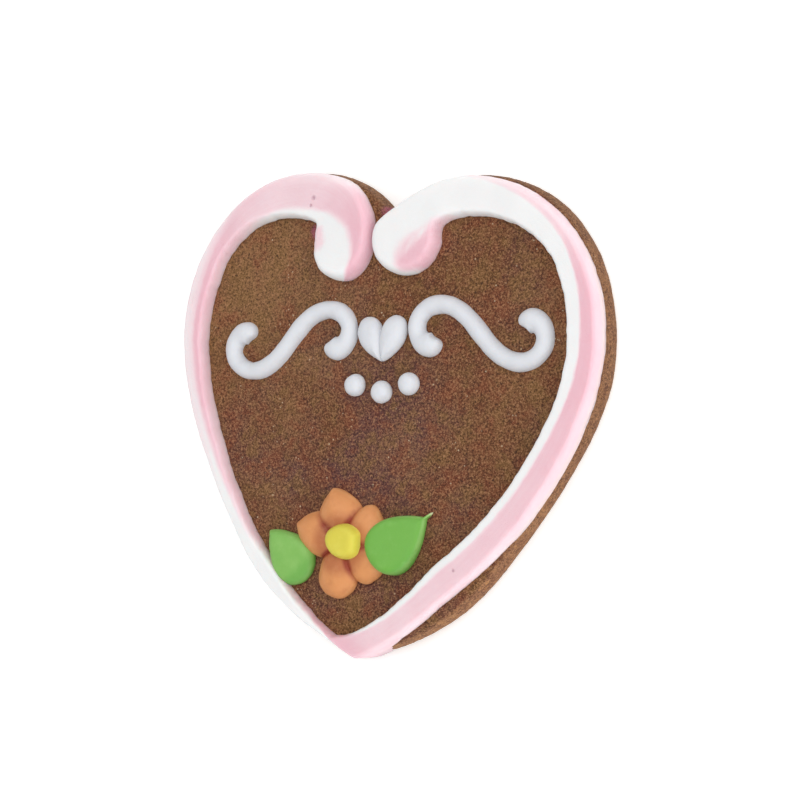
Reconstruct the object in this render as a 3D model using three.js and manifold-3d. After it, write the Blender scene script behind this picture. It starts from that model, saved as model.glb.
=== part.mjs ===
// A gingerbread heart with piped royal icing, lying flat with its decorated side up.
//
// Millimetres, +Z up. The origin is the middle of the heart's footprint, on the surface it
// rests on; +Y points from the tip of the heart to its two lobes. The cookie is a rounded slab.
// Everything piped on it stands on its flat top, in a group whose own z = 0 is that top.

import * as THREE from 'three';
import { LoftGeometry } from 'three/addons/geometries/LoftGeometry.js';
import { mergeVertices } from 'three/addons/utils/BufferGeometryUtils.js';
import Module from 'manifold-3d';

const wasm = await Module();
wasm.setup();

// ---- Driving dimensions -------------------------------------------------------------------

const THICKNESS = 7.8;
const BOTTOM_EDGE = 0.7;
const SHOULDER = 2.2;
const BULGE = 0.25;
const GAP = 0.3;
const SNAP = 1e-3;

const OUTLINE_STEPS = 13;
const SHARPEST = 0.4;
const BOTTOM_STEPS = 2;
const SHOULDER_STEPS = 4;

// A node of a curve: where it is, which way the curve runs there (degrees, from +X towards +Y)
// and how long its handles are before and after it.
const HEART_NODES = [
	{ at: [ 0, - 59.1 ], heading: 16, after: 13.7 },
	{ at: [ 35.1, - 36.5 ], heading: 53.7, before: 14.3, after: 16 },
	{ at: [ 60, 15.9 ], heading: 90, before: 15.8, after: 25 },
	{ at: [ 23.4, 59.1 ], heading: 180, before: 19.5, after: 12 },
	{ at: [ 0, 47.4 ], heading: 236, before: 6 },
];

// The piped ribbon's two edges on each half, from the tip up the flank and the side, over the
// crown and down into the hook that ends in a round head. The left half is written mirrored.
const RIBBON = {
	right: {
		outer: {
			tip: { at: [ 0, - 58.8 ], heading: 5, after: 13 },
			flank: { at: [ 31.3, - 36.6 ], heading: 42, before: 13.5, after: 18 },
			side: { at: [ 58.9, 17.6 ], heading: 90, before: 18.6, after: 25 },
			crown: { at: [ 22.1, 58.3 ], heading: 180, before: 20, after: 8.8 },
			hook: [
				{ at: [ 0.5, 50.2 ], heading: 216, before: 5, after: 4 },
				{ at: [ - 4.4, 42 ], heading: 272, before: 4.5, after: 4.6 },
				{ at: [ 5.2, 33.7 ], heading: 360, before: 5 },
			],
		},
		inner: {
			tip: { at: [ - 3.7, - 54.4 ], heading: 5, after: 11.3 },
			flank: { at: [ 24.5, - 31.4 ], heading: 40.4, before: 7.6, after: 16.7 },
			side: { at: [ 50.7, 16.8 ], heading: 90, before: 14.7, after: 22.5 },
			crown: { at: [ 22.9, 48.8 ], heading: 180, before: 16.9, after: 4.4 },
			hook: [
				{ at: [ 14, 44.4 ], heading: 279, before: 2.6, after: 5.6 },
				{ at: [ 5.2, 33.7 ], heading: 180, before: 6 },
			],
		},
	},
	left: {
		outer: {
			tip: { at: [ 0, - 58.8 ], heading: 14, after: 11.6 },
			flank: { at: [ 32.6, - 36.4 ], heading: 52.6, before: 14.2, after: 16 },
			side: { at: [ 58.8, 18.6 ], heading: 90, before: 19, after: 24 },
			crown: { at: [ 23, 58.4 ], heading: 180, before: 19.3, after: 12.9 },
			hook: [
				{ at: [ 4.1, 42.5 ], heading: 268, before: 9, after: 5.3 },
				{ at: [ 12.3, 31.6 ], heading: 360, before: 5.5 },
			],
		},
		inner: {
			tip: { at: [ 3.7, - 54.4 ], heading: 17, after: 10 },
			flank: { at: [ 31.2, - 31.6 ], heading: 50.8, before: 11.5, after: 12.7 },
			side: { at: [ 52, 16.9 ], heading: 90, before: 14.4, after: 19.7 },
			crown: { at: [ 29.1, 47 ], heading: 180, before: 14.7, after: 5.5 },
			hook: [
				{ at: [ 21, 44.9 ], heading: 284, before: 1.4, after: 2 },
				{ at: [ 21.4, 40.2 ], heading: 272, before: 1.6, after: 5.6 },
				{ at: [ 12.3, 31.6 ], heading: 180, before: 4.6 },
			],
		},
	},
};
const RIBBON_STEPS = { flank: 9, side: 11, crown: 12, hook: 17 };
const RIBBON_ACROSS = 8;
const HEAD_CROWDING = 1.5;
const RIBBON_HEIGHT = { tip: 2.9, head: 4.4 };
const RIBBON_ROUNDING = { tip: 2.7, head: 5.6 };
const RIBBON_DOME = 2.3;
const RIBBON_SKIRT = 1.6;
const TIP_JOIN = { shrink: 0.15, reach: 0.8 };

// The flower: petals round a domed centre. Each petal points along its heading, reaches that far
// from the middle of the flower and fills the wedge that ends at the next petal's first edge.
const FLOWER_AT = [ - 4, - 32.3 ];
const PETALS = [
	{ heading: 36, reach: 12.7, width: 12, sharpness: 0, height: 3.5, fullness: 3.2, from: 0 },
	{ heading: 110, reach: 14.2, width: 14, sharpness: 0.45, height: 3.9, fullness: 3.2, from: 71 },
	{ heading: 166, reach: 15.1, width: 11.8, sharpness: 0.5, height: 3.8, fullness: 3.2, from: 147 },
	{ heading: 262, reach: 13.5, width: 11.6, sharpness: 0, height: 4, fullness: 3.2, from: 208 },
	{ heading: 329, reach: 12.8, width: 11.6, sharpness: 0, height: 3.6, fullness: 3.2, from: 284 },
];
const PETAL_START = 1;
const FLOWER_REACH = 24;
const FLOWER_DEPTH = 12;
const CENTRE = { length: 10.8, width: 8.6, sharpness: 0, height: 6.4, fullness: 3.2 };
const CENTRE_AT = [ 0.6, 0.8 ];

// The leaves: flat drops. The right one leans on the petals, so its round end is high.
const LEAF_RIGHT = {
	length: 18,
	width: 13.8,
	sharpness: 0.9,
	height: 3.5,
	fullness: 7,
	lean: - 0.5,
	tail: 2.4,
};
const LEAF_RIGHT_AT = [ 15, 2.2 ];
const LEAF_RIGHT_HEADING = 43;
const LEAF_LEFT = { length: 16.4, width: 12.2, sharpness: 0.8, height: 2.8, fullness: 5 };
const LEAF_LEFT_AT = [ - 16.2, - 4.1 ];
const LEAF_LEFT_HEADING = 139;

// The ornament across the upper half: two mirrored scrolls with a small heart and dots between.
const ORNAMENT_AT = [ 0.8, 18.6 ];
const ORNAMENT_TILT = 5;
const SCROLL = { halfLength: 32, turn: 275, slant: 50, halfWidth: 2.4, bulb: 3.1, height: 2.7 };
const SCROLL_OFFSET = [ 26.8, 0 ];
const SCROLL_STEPS = 30;
const SCROLL_AROUND = 6;
const SCROLL_END = 0.4;
const SPIRAL_STEPS = 48;
const HEART_DROP = { length: 12, width: 7, sharpness: 0.7, height: 3, fullness: 2.4 };
const HEART_DROP_SPREAD = 24;
const HEART_DROP_AT = [ 2.6, - 0.6 ];
const DOT = { length: 5.6, width: 5.6, sharpness: 0, height: 2.9, fullness: 2.4 };
const DOT_PLACES = [ [ - 7.6, - 11.6 ], [ 0, - 13.4 ], [ 7.6, - 11.6 ] ];

const DROP_STEPS = 20;
const DROP_RINGS = [ 1, 0.96, 0.84, 0.62, 0.3 ];
const TAIL_TAPER = 8;

const MATERIALS = {
	gingerbread: new THREE.MeshStandardMaterial( { color: 0x8a6040, roughness: 0.85, metalness: 0 } ),
	border: new THREE.MeshStandardMaterial( { color: 0xf3d9e0, roughness: 0.55, metalness: 0 } ),
	white: new THREE.MeshStandardMaterial( { color: 0xdfe1e4, roughness: 0.55, metalness: 0 } ),
	orange: new THREE.MeshStandardMaterial( { color: 0xdd9560, roughness: 0.5, metalness: 0 } ),
	yellow: new THREE.MeshStandardMaterial( { color: 0xe2d85c, roughness: 0.5, metalness: 0 } ),
	green: new THREE.MeshStandardMaterial( { color: 0x7cbb58, roughness: 0.45, metalness: 0 } ),
};

// ---- Curves -------------------------------------------------------------------------------

const radians = THREE.MathUtils.degToRad;
const lerp = THREE.MathUtils.lerp;

function handleOf( node, length ) {

	const turn = radians( node.heading );
	return new THREE.Vector2( node.at[ 0 ] + length * Math.cos( turn ), node.at[ 1 ] + length * Math.sin( turn ) );

}

// A smooth curve through the nodes, sampled evenly along its length.
function curveThrough( nodes ) {

	const path = new THREE.CurvePath();
	for ( let i = 1; i < nodes.length; i ++ ) {

		const from = nodes[ i - 1 ];
		const to = nodes[ i ];
		path.add( new THREE.CubicBezierCurve(
			new THREE.Vector2( ...from.at ),
			handleOf( from, from.after ),
			handleOf( to, - to.before ),
			new THREE.Vector2( ...to.at ),
		) );

	}

	return path;

}

// The heart's closed outline, counterclockwise from the tip, both halves alike.
function heartOutline() {

	const right = [];
	for ( let i = 1; i < HEART_NODES.length; i ++ ) {

		const stretch = curveThrough( [ HEART_NODES[ i - 1 ], HEART_NODES[ i ] ] );
		for ( let k = 0; k < OUTLINE_STEPS; k ++ ) right.push( stretch.getPoint( k / OUTLINE_STEPS ) );

	}

	const left = right.slice( 1 ).reverse().map( ( p ) => new THREE.Vector2( - p.x, p.y ) );
	return [ ...right, new THREE.Vector2( ...HEART_NODES.at( - 1 ).at ), ...left ];

}

// The outline moved inwards by a distance, square to its edges.
function insetOutline( outline, distance ) {

	return outline.map( ( point, i ) => {

		const before = outline.at( i - 1 );
		const after = outline[ ( i + 1 ) % outline.length ];
		const a = new THREE.Vector2().subVectors( point, before ).normalize();
		const b = new THREE.Vector2().subVectors( after, point ).normalize();
		const inward = new THREE.Vector2( - a.y - b.y, a.x + b.x ).normalize();
		const square = Math.max( SHARPEST, inward.x * - b.y + inward.y * b.x );
		return point.clone().addScaledVector( inward, distance / square );

	} );

}

// ---- Solids -------------------------------------------------------------------------------

function signedVolume( geometry ) {

	const position = geometry.getAttribute( 'position' );
	const index = geometry.getIndex();
	const [ a, b, c ] = [ new THREE.Vector3(), new THREE.Vector3(), new THREE.Vector3() ];
	let sum = 0;
	for ( let i = 0; i < index.count; i += 3 ) {

		a.fromBufferAttribute( position, index.getX( i ) );
		b.fromBufferAttribute( position, index.getX( i + 1 ) );
		c.fromBufferAttribute( position, index.getX( i + 2 ) );
		sum += a.dot( b.cross( c ) ) / 6;

	}

	return sum;

}

// A closed skin over rings of points, with its faces pointing out.
function loftSolid( rings ) {

	const build = ( sections ) => new LoftGeometry( sections, { closed: true, capStart: true, capEnd: true } );
	const geometry = build( rings );
	const outward = signedVolume( geometry ) > 0 ? geometry : build( rings.map( ( ring ) => ring.toReversed() ) );
	return toManifold( outward );

}

function toManifold( geometry ) {

	const plain = new THREE.BufferGeometry();
	plain.setAttribute( 'position', geometry.getAttribute( 'position' ) );
	plain.setIndex( geometry.getIndex() );
	const merged = mergeVertices( plain );
	return new wasm.Manifold( new wasm.Mesh( {
		numProp: 3,
		vertProperties: merged.getAttribute( 'position' ).array,
		triVerts: Uint32Array.from( merged.getIndex().array ),
	} ) );

}

// The solid's faces, with whatever lies on the cookie's top put exactly there.
function toGeometry( solid ) {

	const { vertProperties, triVerts } = solid.getMesh();
	const onTop = ( value, i ) => i % 3 === 2 && Math.abs( value ) < SNAP;
	const positions = vertProperties.map( ( value, i ) => ( onTop( value, i ) ? 0 : value ) );
	const geometry = new THREE.BufferGeometry();
	geometry.setAttribute( 'position', new THREE.BufferAttribute( positions, 3 ) );
	geometry.setIndex( new THREE.BufferAttribute( triVerts, 1 ) );
	return geometry;

}

function mesh( name, solid, material ) {

	const result = new THREE.Mesh( toGeometry( solid ), material );
	result.name = name;
	return result;

}

// ---- Cookie -------------------------------------------------------------------------------

// Rings from the underside up: a round bottom edge, a slightly bulging side and a round
// shoulder. `grow` makes the cookie larger all round but not higher; `lift` moves it up.
function cookieSolid( grow = 0, lift = 0 ) {

	const profile = [];
	for ( let k = 0; k <= BOTTOM_STEPS; k ++ ) {

		const turn = Math.PI / 2 * k / BOTTOM_STEPS;
		profile.push( {
			inset: BULGE + BOTTOM_EDGE * ( 1 - Math.sin( turn ) ),
			z: BOTTOM_EDGE * ( 1 - Math.cos( turn ) ),
		} );

	}

	profile.push( { inset: 0, z: THICKNESS / 2 } );
	for ( let k = 0; k <= SHOULDER_STEPS; k ++ ) {

		const turn = Math.PI / 2 * k / SHOULDER_STEPS;
		profile.push( {
			inset: BULGE + ( SHOULDER - BULGE ) * ( 1 - Math.cos( turn ) ),
			z: THICKNESS - SHOULDER * ( 1 - Math.sin( turn ) ),
		} );

	}

	const outline = heartOutline();
	return loftSolid( profile.map( ( { inset, z } ) =>
		insetOutline( outline, inset - grow ).map( ( p ) => new THREE.Vector3( p.x, p.y, z + lift ) ) ) );

}

// ---- Icing border -------------------------------------------------------------------------

// Points along one edge of the ribbon. They crowd together where the head closes.
function edgePoints( edge, mirror ) {

	const stretches = [
		{ nodes: [ edge.tip, edge.flank ], steps: RIBBON_STEPS.flank },
		{ nodes: [ edge.flank, edge.side ], steps: RIBBON_STEPS.side },
		{ nodes: [ edge.side, edge.crown ], steps: RIBBON_STEPS.crown },
		{ nodes: [ edge.crown, ...edge.hook ], steps: RIBBON_STEPS.hook, closing: true },
	];
	const points = [];
	for ( const { nodes, steps, closing } of stretches ) {

		const curve = curveThrough( nodes );
		for ( let k = 0; k < steps; k ++ ) {

			const u = k / steps;
			points.push( curve.getPoint( closing ? 1 - ( 1 - u ) ** HEAD_CROWDING : u ) );

		}

	}

	return points.map( ( p ) => new THREE.Vector2( mirror * p.x, p.y ) );

}

function distanceToLine( point, line ) {

	let nearest = Infinity;
	for ( let i = 1; i < line.length; i ++ ) {

		const from = line[ i - 1 ];
		const [ dx, dy ] = [ line[ i ].x - from.x, line[ i ].y - from.y ];
		const [ x, y ] = [ point.x - from.x, point.y - from.y ];
		const share = Math.min( 1, Math.max( 0, ( x * dx + y * dy ) / ( dx * dx + dy * dy ) ) );
		nearest = Math.min( nearest, Math.hypot( x - share * dx, y - share * dy ) );

	}

	return nearest;

}

// One half of the border: rings across the ribbon, domed by how far in from its edges each
// point lies. `grow` makes it larger all round.
function ribbonSolid( name, other, grow = 0 ) {

	const mirror = name === 'right' ? 1 : - 1;
	const outer = edgePoints( RIBBON[ name ].outer, mirror );
	const inner = edgePoints( RIBBON[ name ].inner, mirror );
	const acrossTip = [ 'outer', 'inner' ].map( ( edge ) =>
		edgePoints( RIBBON[ other ][ edge ], - mirror ).slice( 0, RIBBON_STEPS.flank ) );
	const edges = [ outer, inner, ...acrossTip ];

	const rings = outer.map( ( start, i ) => {

		const end = inner[ i ];
		const along = i / ( outer.length - 1 );
		const full = lerp( RIBBON_HEIGHT.tip, RIBBON_HEIGHT.head, along );
		const rounding = lerp( RIBBON_ROUNDING.tip, RIBBON_ROUNDING.head, along ** 3 );
		const across = new THREE.Vector2().subVectors( end, start );
		const ring = [];
		for ( let k = 0; k <= RIBBON_ACROSS; k ++ ) {

			const share = ( 1 - Math.cos( Math.PI * k / RIBBON_ACROSS ) ) / 2;
			const point = start.clone().addScaledVector( across, share );
			const fromEdge = Math.min( ...edges.map( ( edge ) => distanceToLine( point, edge ) ) );
			const depth = Math.min( 1, fromEdge / rounding );
			const height = full * Math.sqrt( 1 - ( 1 - depth ) ** RIBBON_DOME );
			const spread = grow * ( 2 * share - 1 ) / across.length();
			const onEdge = k === 0 || k === RIBBON_ACROSS;
			point.addScaledVector( across, spread );
			ring.push( new THREE.Vector3( point.x, point.y, onEdge ? - RIBBON_SKIRT : height + grow ) );

		}

		return ring;

	} );
	rings.unshift( overlapRing( rings[ 0 ], rings[ 1 ] ) );
	return loftSolid( rings );

}

// A slightly smaller ring just past the tip, so that the two halves join through each other.
function overlapRing( first, second ) {

	const middle = first.reduce( ( sum, p ) => sum.add( p ), new THREE.Vector3() ).divideScalar( first.length );
	return first.map( ( p, i ) => {

		const back = new THREE.Vector3().subVectors( p, second[ i ] ).setZ( 0 ).normalize();
		return p.clone().lerp( middle, TIP_JOIN.shrink ).addScaledVector( back, TIP_JOIN.reach );

	} );

}

function borderSolid( grow = 0 ) {

	const halves = ribbonSolid( 'right', 'left', grow ).add( ribbonSolid( 'left', 'right', grow ) );
	return halves.subtract( cookieSolid( GAP, - THICKNESS ) );

}

// ---- Drops: petals, leaves, dots ----------------------------------------------------------

// A drop's outline with its tip towards +X. Sharpness 0 is an ellipse, 1 a pointed drop.
function dropOutline( { length, width, sharpness, tail = 0 } ) {

	const power = sharpness + 1;
	const widest = 2 * ( power / ( power + 1 ) ) ** ( power / 2 ) / Math.sqrt( power + 1 );
	const points = [];
	for ( let i = 0; i < DROP_STEPS; i ++ ) {

		const turn = 2 * Math.PI * i / DROP_STEPS;
		const half = Math.sin( turn ) * Math.sin( turn / 2 ) ** sharpness / widest;
		points.push( new THREE.Vector2( length / 2 * Math.cos( turn ) + ( i === 0 ? tail : 0 ), width / 2 * half ) );

	}

	return points;

}

// A domed drop on the cookie, turned and moved to its place. `fullness` sets how flat its top
// is, `lean` how much lower its tip stands than its middle.
function dropSolid( shape, heading, at, grow = 0 ) {

	const { height, fullness = 2.2, lean = 0, tail = 0 } = shape;
	const outline = dropOutline( { ...shape, length: shape.length + 2 * grow, width: shape.width + 2 * grow } );
	const rings = DROP_RINGS.map( ( size ) => outline.map( ( p ) => {

		const x = p.x > shape.length / 2 + grow ? ( p.x - tail ) * size + tail * size ** TAIL_TAPER : p.x * size;
		const top = ( height + grow ) * Math.sqrt( 1 - size ** fullness ) * ( 1 + lean * x / ( shape.length / 2 ) );
		return new THREE.Vector3( x, p.y * size, Math.max( top, 0 ) );

	} ) );
	const turned = rings.map( ( ring ) => ring.map( ( p ) =>
		p.applyAxisAngle( new THREE.Vector3( 0, 0, 1 ), radians( heading ) ).add( new THREE.Vector3( ...at, 0 ) ) ) );
	return loftSolid( turned );

}

// ---- Flower -------------------------------------------------------------------------------

// The wedge of the flower that belongs to one petal, half a gap inside its two edges.
function wedgeSolid( from, to ) {

	const half = radians( ( to - from ) / 2 );
	const middle = radians( ( to + from ) / 2 );
	const inset = GAP / 2 / Math.sin( half );
	const corner = ( turn, radius ) => new THREE.Vector2(
		inset * Math.cos( middle ) + radius * Math.cos( turn ),
		inset * Math.sin( middle ) + radius * Math.sin( turn ),
	);
	const shape = new THREE.Shape( [
		corner( 0, 0 ),
		corner( middle - half, FLOWER_REACH ),
		corner( middle + half, FLOWER_REACH ),
	] );
	const prism = new THREE.ExtrudeGeometry( shape, { depth: FLOWER_DEPTH, bevelEnabled: false } );
	return toManifold( prism.translate( 0, 0, - GAP ) );

}

function petalSolid( petal, grow = 0 ) {

	const length = petal.reach - PETAL_START;
	const middle = PETAL_START + length / 2;
	const turn = radians( petal.heading );
	return dropSolid(
		{ ...petal, length },
		petal.heading,
		[ middle * Math.cos( turn ), middle * Math.sin( turn ) ],
		grow,
	);

}

function flowerGroup() {

	const flower = new THREE.Group();
	flower.position.set( ...FLOWER_AT, 0 );

	const centre = ( grow ) => dropSolid( CENTRE, 0, CENTRE_AT, grow );
	const leafRight = ( grow ) => dropSolid( LEAF_RIGHT, LEAF_RIGHT_HEADING, LEAF_RIGHT_AT, grow );
	flower.add( mesh( 'flower_centre', centre( 0 ), MATERIALS.yellow ) );

	const roomForOthers = centre( GAP ).add( leafRight( GAP ) );
	PETALS.forEach( ( petal, i ) => {

		const next = PETALS[ ( i + 1 ) % PETALS.length ];
		const wedge = wedgeSolid( petal.from, next.from > petal.from ? next.from : next.from + 360 );
		const solid = petalSolid( petal ).intersect( wedge ).subtract( roomForOthers );
		flower.add( mesh( `petal_${ i + 1 }`, solid, MATERIALS.orange ) );

	} );

	flower.add( mesh( 'leaf_right', leafRight( 0 ).subtract( centre( GAP ) ), MATERIALS.green ) );

	const nearBorder = toGeometry( borderSolid( GAP ) ).translate( - FLOWER_AT[ 0 ], - FLOWER_AT[ 1 ], 0 );
	const petals = PETALS.map( ( petal ) => petalSolid( petal, GAP ) );
	const leafLeft = petals.reduce(
		( leaf, petal ) => leaf.subtract( petal ),
		dropSolid( LEAF_LEFT, LEAF_LEFT_HEADING, LEAF_LEFT_AT ).subtract( toManifold( nearBorder ) ),
	);
	flower.add( mesh( 'leaf_left', leafLeft, MATERIALS.green ) );
	return flower;

}

// ---- Ornament -----------------------------------------------------------------------------

// The point of an Euler spiral at a distance from its middle: its curvature grows evenly from
// nothing there, so that it curls up at both ends the opposite way round.
function spiralPoint( distance, hand ) {

	const point = new THREE.Vector2();
	for ( let k = 0; k < SPIRAL_STEPS; k ++ ) {

		const here = distance * ( k + 0.5 ) / SPIRAL_STEPS;
		const turn = radians( SCROLL.turn ) * ( here / SCROLL.halfLength ) ** 2 - radians( SCROLL.slant );
		point.x += hand * Math.cos( turn ) * distance / SPIRAL_STEPS;
		point.y += Math.sin( turn ) * distance / SPIRAL_STEPS;

	}

	return point;

}

// A round-topped stroke along the spiral, with a bulb at each end.
function scrollSolid( hand ) {

	const { halfLength, halfWidth, bulb, height } = SCROLL;
	const rings = [];
	for ( let i = 0; i <= SCROLL_STEPS; i ++ ) {

		const distance = - halfLength * Math.cos( Math.PI * ( i + SCROLL_END ) / ( SCROLL_STEPS + 2 * SCROLL_END ) );
		const fromEnd = halfLength - Math.abs( distance );
		const swelling = halfWidth + ( bulb - halfWidth ) * Math.exp( - ( ( ( fromEnd - bulb ) / bulb ) ** 2 ) );
		const half = swelling * Math.sqrt( 1 - ( 1 - Math.min( 1, fromEnd / bulb ) ) ** 2 );
		const centre = spiralPoint( distance, hand );
		const ahead = spiralPoint( distance + 0.01, hand ).sub( centre ).normalize();
		const top = height * Math.sqrt( half / halfWidth );
		const ring = [];
		for ( let k = 0; k <= SCROLL_AROUND; k ++ ) {

			const turn = Math.PI * k / SCROLL_AROUND;
			const side = - half * Math.cos( turn );
			ring.push( new THREE.Vector3(
				centre.x + side * ahead.y,
				centre.y - side * ahead.x,
				k === SCROLL_AROUND ? 0 : top * Math.sin( turn ),
			) );

		}

		rings.push( ring );

	}

	return loftSolid( rings );

}

function pipedHeartSolid() {

	const [ x, y ] = HEART_DROP_AT;
	const right = dropSolid( HEART_DROP, - 90 - HEART_DROP_SPREAD, [ x, y ] );
	const left = dropSolid( HEART_DROP, - 90 + HEART_DROP_SPREAD, [ - x, y ] );
	return right.add( left );

}

function ornamentGroup() {

	const ornament = new THREE.Group();
	ornament.position.set( ...ORNAMENT_AT, 0 );
	ornament.rotation.z = radians( ORNAMENT_TILT );

	for ( const [ name, hand ] of [ [ 'scroll_left', - 1 ], [ 'scroll_right', 1 ] ] ) {

		const scroll = mesh( name, scrollSolid( hand ), MATERIALS.white );
		scroll.position.set( hand * SCROLL_OFFSET[ 0 ], SCROLL_OFFSET[ 1 ], 0 );
		ornament.add( scroll );

	}

	ornament.add( mesh( 'piped_heart', pipedHeartSolid(), MATERIALS.white ) );
	DOT_PLACES.forEach( ( [ x, y ], i ) => {

		const dot = mesh( `dot_${ i + 1 }`, dropSolid( DOT, 0, [ 0, 0 ] ), MATERIALS.white );
		dot.position.set( x, y, 0 );
		ornament.add( dot );

	} );
	return ornament;

}

// ---- The whole ----------------------------------------------------------------------------

const icing = new THREE.Group();
icing.position.z = THICKNESS;
icing.add( mesh( 'icing_border', borderSolid(), MATERIALS.border ) );
icing.add( ornamentGroup() );
icing.add( flowerGroup() );

const gingerbreadHeart = new THREE.Group();
gingerbreadHeart.add( mesh( 'gingerbread', cookieSolid(), MATERIALS.gingerbread ) );
gingerbreadHeart.add( icing );

export default gingerbreadHeart;
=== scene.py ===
"""A gingerbread heart with piped royal icing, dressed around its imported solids.

The heart lies flat on a pale floor with its decorated side up. The dough slab, the two-coloured
piped border, the ornament, the flower and its leaves each replace their plain solid with a finely
modelled one of the same form. Sizes are millimetres, as on a maker's drawing, and become metres
where a mesh is made. +Y points from the tip of the heart to its lobes, and z = 0 is the floor.
"""

from __future__ import annotations

import logging
import math
from dataclasses import dataclass, field, replace
from enum import Enum
from typing import Any, ClassVar, Sequence

import bmesh
import bpy
import numpy as np
from mathutils import Matrix, Vector
from mathutils.geometry import delaunay_2d_cdt
from mathutils.kdtree import KDTree

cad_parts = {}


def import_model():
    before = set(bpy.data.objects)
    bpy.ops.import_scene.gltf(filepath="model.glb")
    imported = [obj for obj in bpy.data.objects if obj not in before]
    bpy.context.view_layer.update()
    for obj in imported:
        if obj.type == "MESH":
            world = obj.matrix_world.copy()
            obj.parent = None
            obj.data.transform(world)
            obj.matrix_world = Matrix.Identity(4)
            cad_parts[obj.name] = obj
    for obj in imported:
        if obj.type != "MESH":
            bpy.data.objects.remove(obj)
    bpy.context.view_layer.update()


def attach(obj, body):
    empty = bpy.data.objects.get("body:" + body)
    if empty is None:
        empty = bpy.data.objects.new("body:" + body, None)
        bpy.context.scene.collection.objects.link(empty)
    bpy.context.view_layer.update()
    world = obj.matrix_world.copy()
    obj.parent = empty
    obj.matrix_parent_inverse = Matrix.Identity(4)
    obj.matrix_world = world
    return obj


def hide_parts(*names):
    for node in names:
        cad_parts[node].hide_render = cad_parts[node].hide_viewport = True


LOG = logging.getLogger("gingerbread_heart")
MM = 0.001
BODY = "root"
TINY = 1e-6

Pair = tuple[float, float]
Triple = tuple[float, float, float]
Rgb = Triple
Spot = Triple
Skin = list[Sequence[int]]
Marks = dict[str, np.ndarray]
MeshParts = tuple[np.ndarray, Skin, Marks]
Piece = bpy.types.Object
Material = bpy.types.Material
Settings = dict[str, Any] | None
Inputs = dict[str | int, Any] | None


class Hand(Enum):
    """The half of the heart that a mirrored shape stands on. Its value turns X round."""

    LEFT = -1
    RIGHT = 1


class Slot(Enum):
    """The record's material slots."""

    DOUGH = "gingerbread"
    PINK = "icing_pink"
    WHITE = "icing_white"
    YELLOW = "icing_yellow"
    ORANGE = "icing_orange"
    GREEN = "icing_green"


# ---- Curves and outlines ---------------------------------------------------------------------


def ahead(degrees: float) -> np.ndarray:
    """Returns the unit (x, y) that points that many degrees from +X towards +Y."""
    turn = math.radians(degrees)
    return np.array([math.cos(turn), math.sin(turn)])


def turned(points: np.ndarray, degrees: float) -> np.ndarray:
    """Returns (x, y) rows turned about the origin by that many degrees."""
    x, y = ahead(degrees)
    return points @ np.array([[x, y], [-y, x]])


@dataclass(frozen=True)
class Bend:
    """A place that a curve passes through.

    heading is the way it runs there, in degrees from +X towards +Y, and before and after are
    the lengths of its handles on either side.
    """

    x: float
    y: float
    heading: float
    before: float = 0.0
    after: float = 0.0

    def point(self) -> np.ndarray:
        """Returns the place itself."""
        return np.array([self.x, self.y])

    def handle(self, length: float) -> np.ndarray:
        """Returns the end of a handle of that length, negative for the one before the bend."""
        return self.point() + length * ahead(self.heading)


def curve_points(bends: Sequence[Bend], shares: np.ndarray, fineness: int = 240) -> np.ndarray:
    """Points on the smooth curve through some bends.

    Args:
        bends: The bends in order, at least two.
        shares: Where the points lie, from 0 to 1 of the curve's length.
        fineness: Steps on each stretch while its length is measured.

    Returns:
        One (x, y) row for each share.
    """
    u = np.linspace(0.0, 1.0, fineness + 1)[:, None]
    runs = []
    for a, b in zip(bends[:-1], bends[1:]):
        p0, p1, p2, p3 = a.point(), a.handle(a.after), b.handle(-b.before), b.point()
        run = (1 - u) ** 3 * p0 + 3 * u * (1 - u) ** 2 * p1 + 3 * u**2 * (1 - u) * p2 + u**3 * p3
        runs.append(run if not runs else run[1:])
    dense = np.vstack(runs)
    gone = np.concatenate([[0.0], np.cumsum(np.linalg.norm(np.diff(dense, axis=0), axis=1))])
    wanted = np.asarray(shares) * gone[-1]
    return np.stack([np.interp(wanted, gone, dense[:, k]) for k in (0, 1)], axis=1)


def inset_outline(outline: np.ndarray, distance: float, sharpest: float = 0.4) -> np.ndarray:
    """Moves a closed counterclockwise outline inwards, square to its edges.

    Args:
        outline: (x, y) rows.
        distance: How far in.
        sharpest: The least cosine that a corner may stretch the distance by.

    Returns:
        The moved rows.
    """
    before = outline - np.roll(outline, 1, axis=0)
    after = np.roll(before, -1, axis=0)
    a = before / np.linalg.norm(before, axis=1, keepdims=True)
    b = after / np.linalg.norm(after, axis=1, keepdims=True)
    inward = np.stack([-a[:, 1] - b[:, 1], a[:, 0] + b[:, 0]], axis=1)
    inward /= np.linalg.norm(inward, axis=1, keepdims=True)
    square = np.maximum(sharpest, -inward[:, 0] * b[:, 1] + inward[:, 1] * b[:, 0])
    return outline + inward * (distance / square)[:, None]


def distance_to_lines(
    points: np.ndarray, lines: Sequence[np.ndarray], chunk: int = 1500
) -> np.ndarray:
    """How far each point is from the nearest of some lines.

    Args:
        points: (x, y) rows.
        lines: Each an array of (x, y) rows in order.
        chunk: Points handled at once.

    Returns:
        One distance for each point.
    """
    start = np.vstack([line[:-1] for line in lines])
    step = np.vstack([np.diff(line, axis=0) for line in lines])
    squared = np.maximum(TINY**2, (step**2).sum(1))
    found = []
    for i in range(0, len(points), chunk):
        away = points[i : i + chunk, None, :] - start[None]
        share = np.clip((away * step).sum(2) / squared, 0.0, 1.0)
        found.append(np.linalg.norm(away - share[:, :, None] * step, axis=2).min(1))
    return np.concatenate(found)


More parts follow.
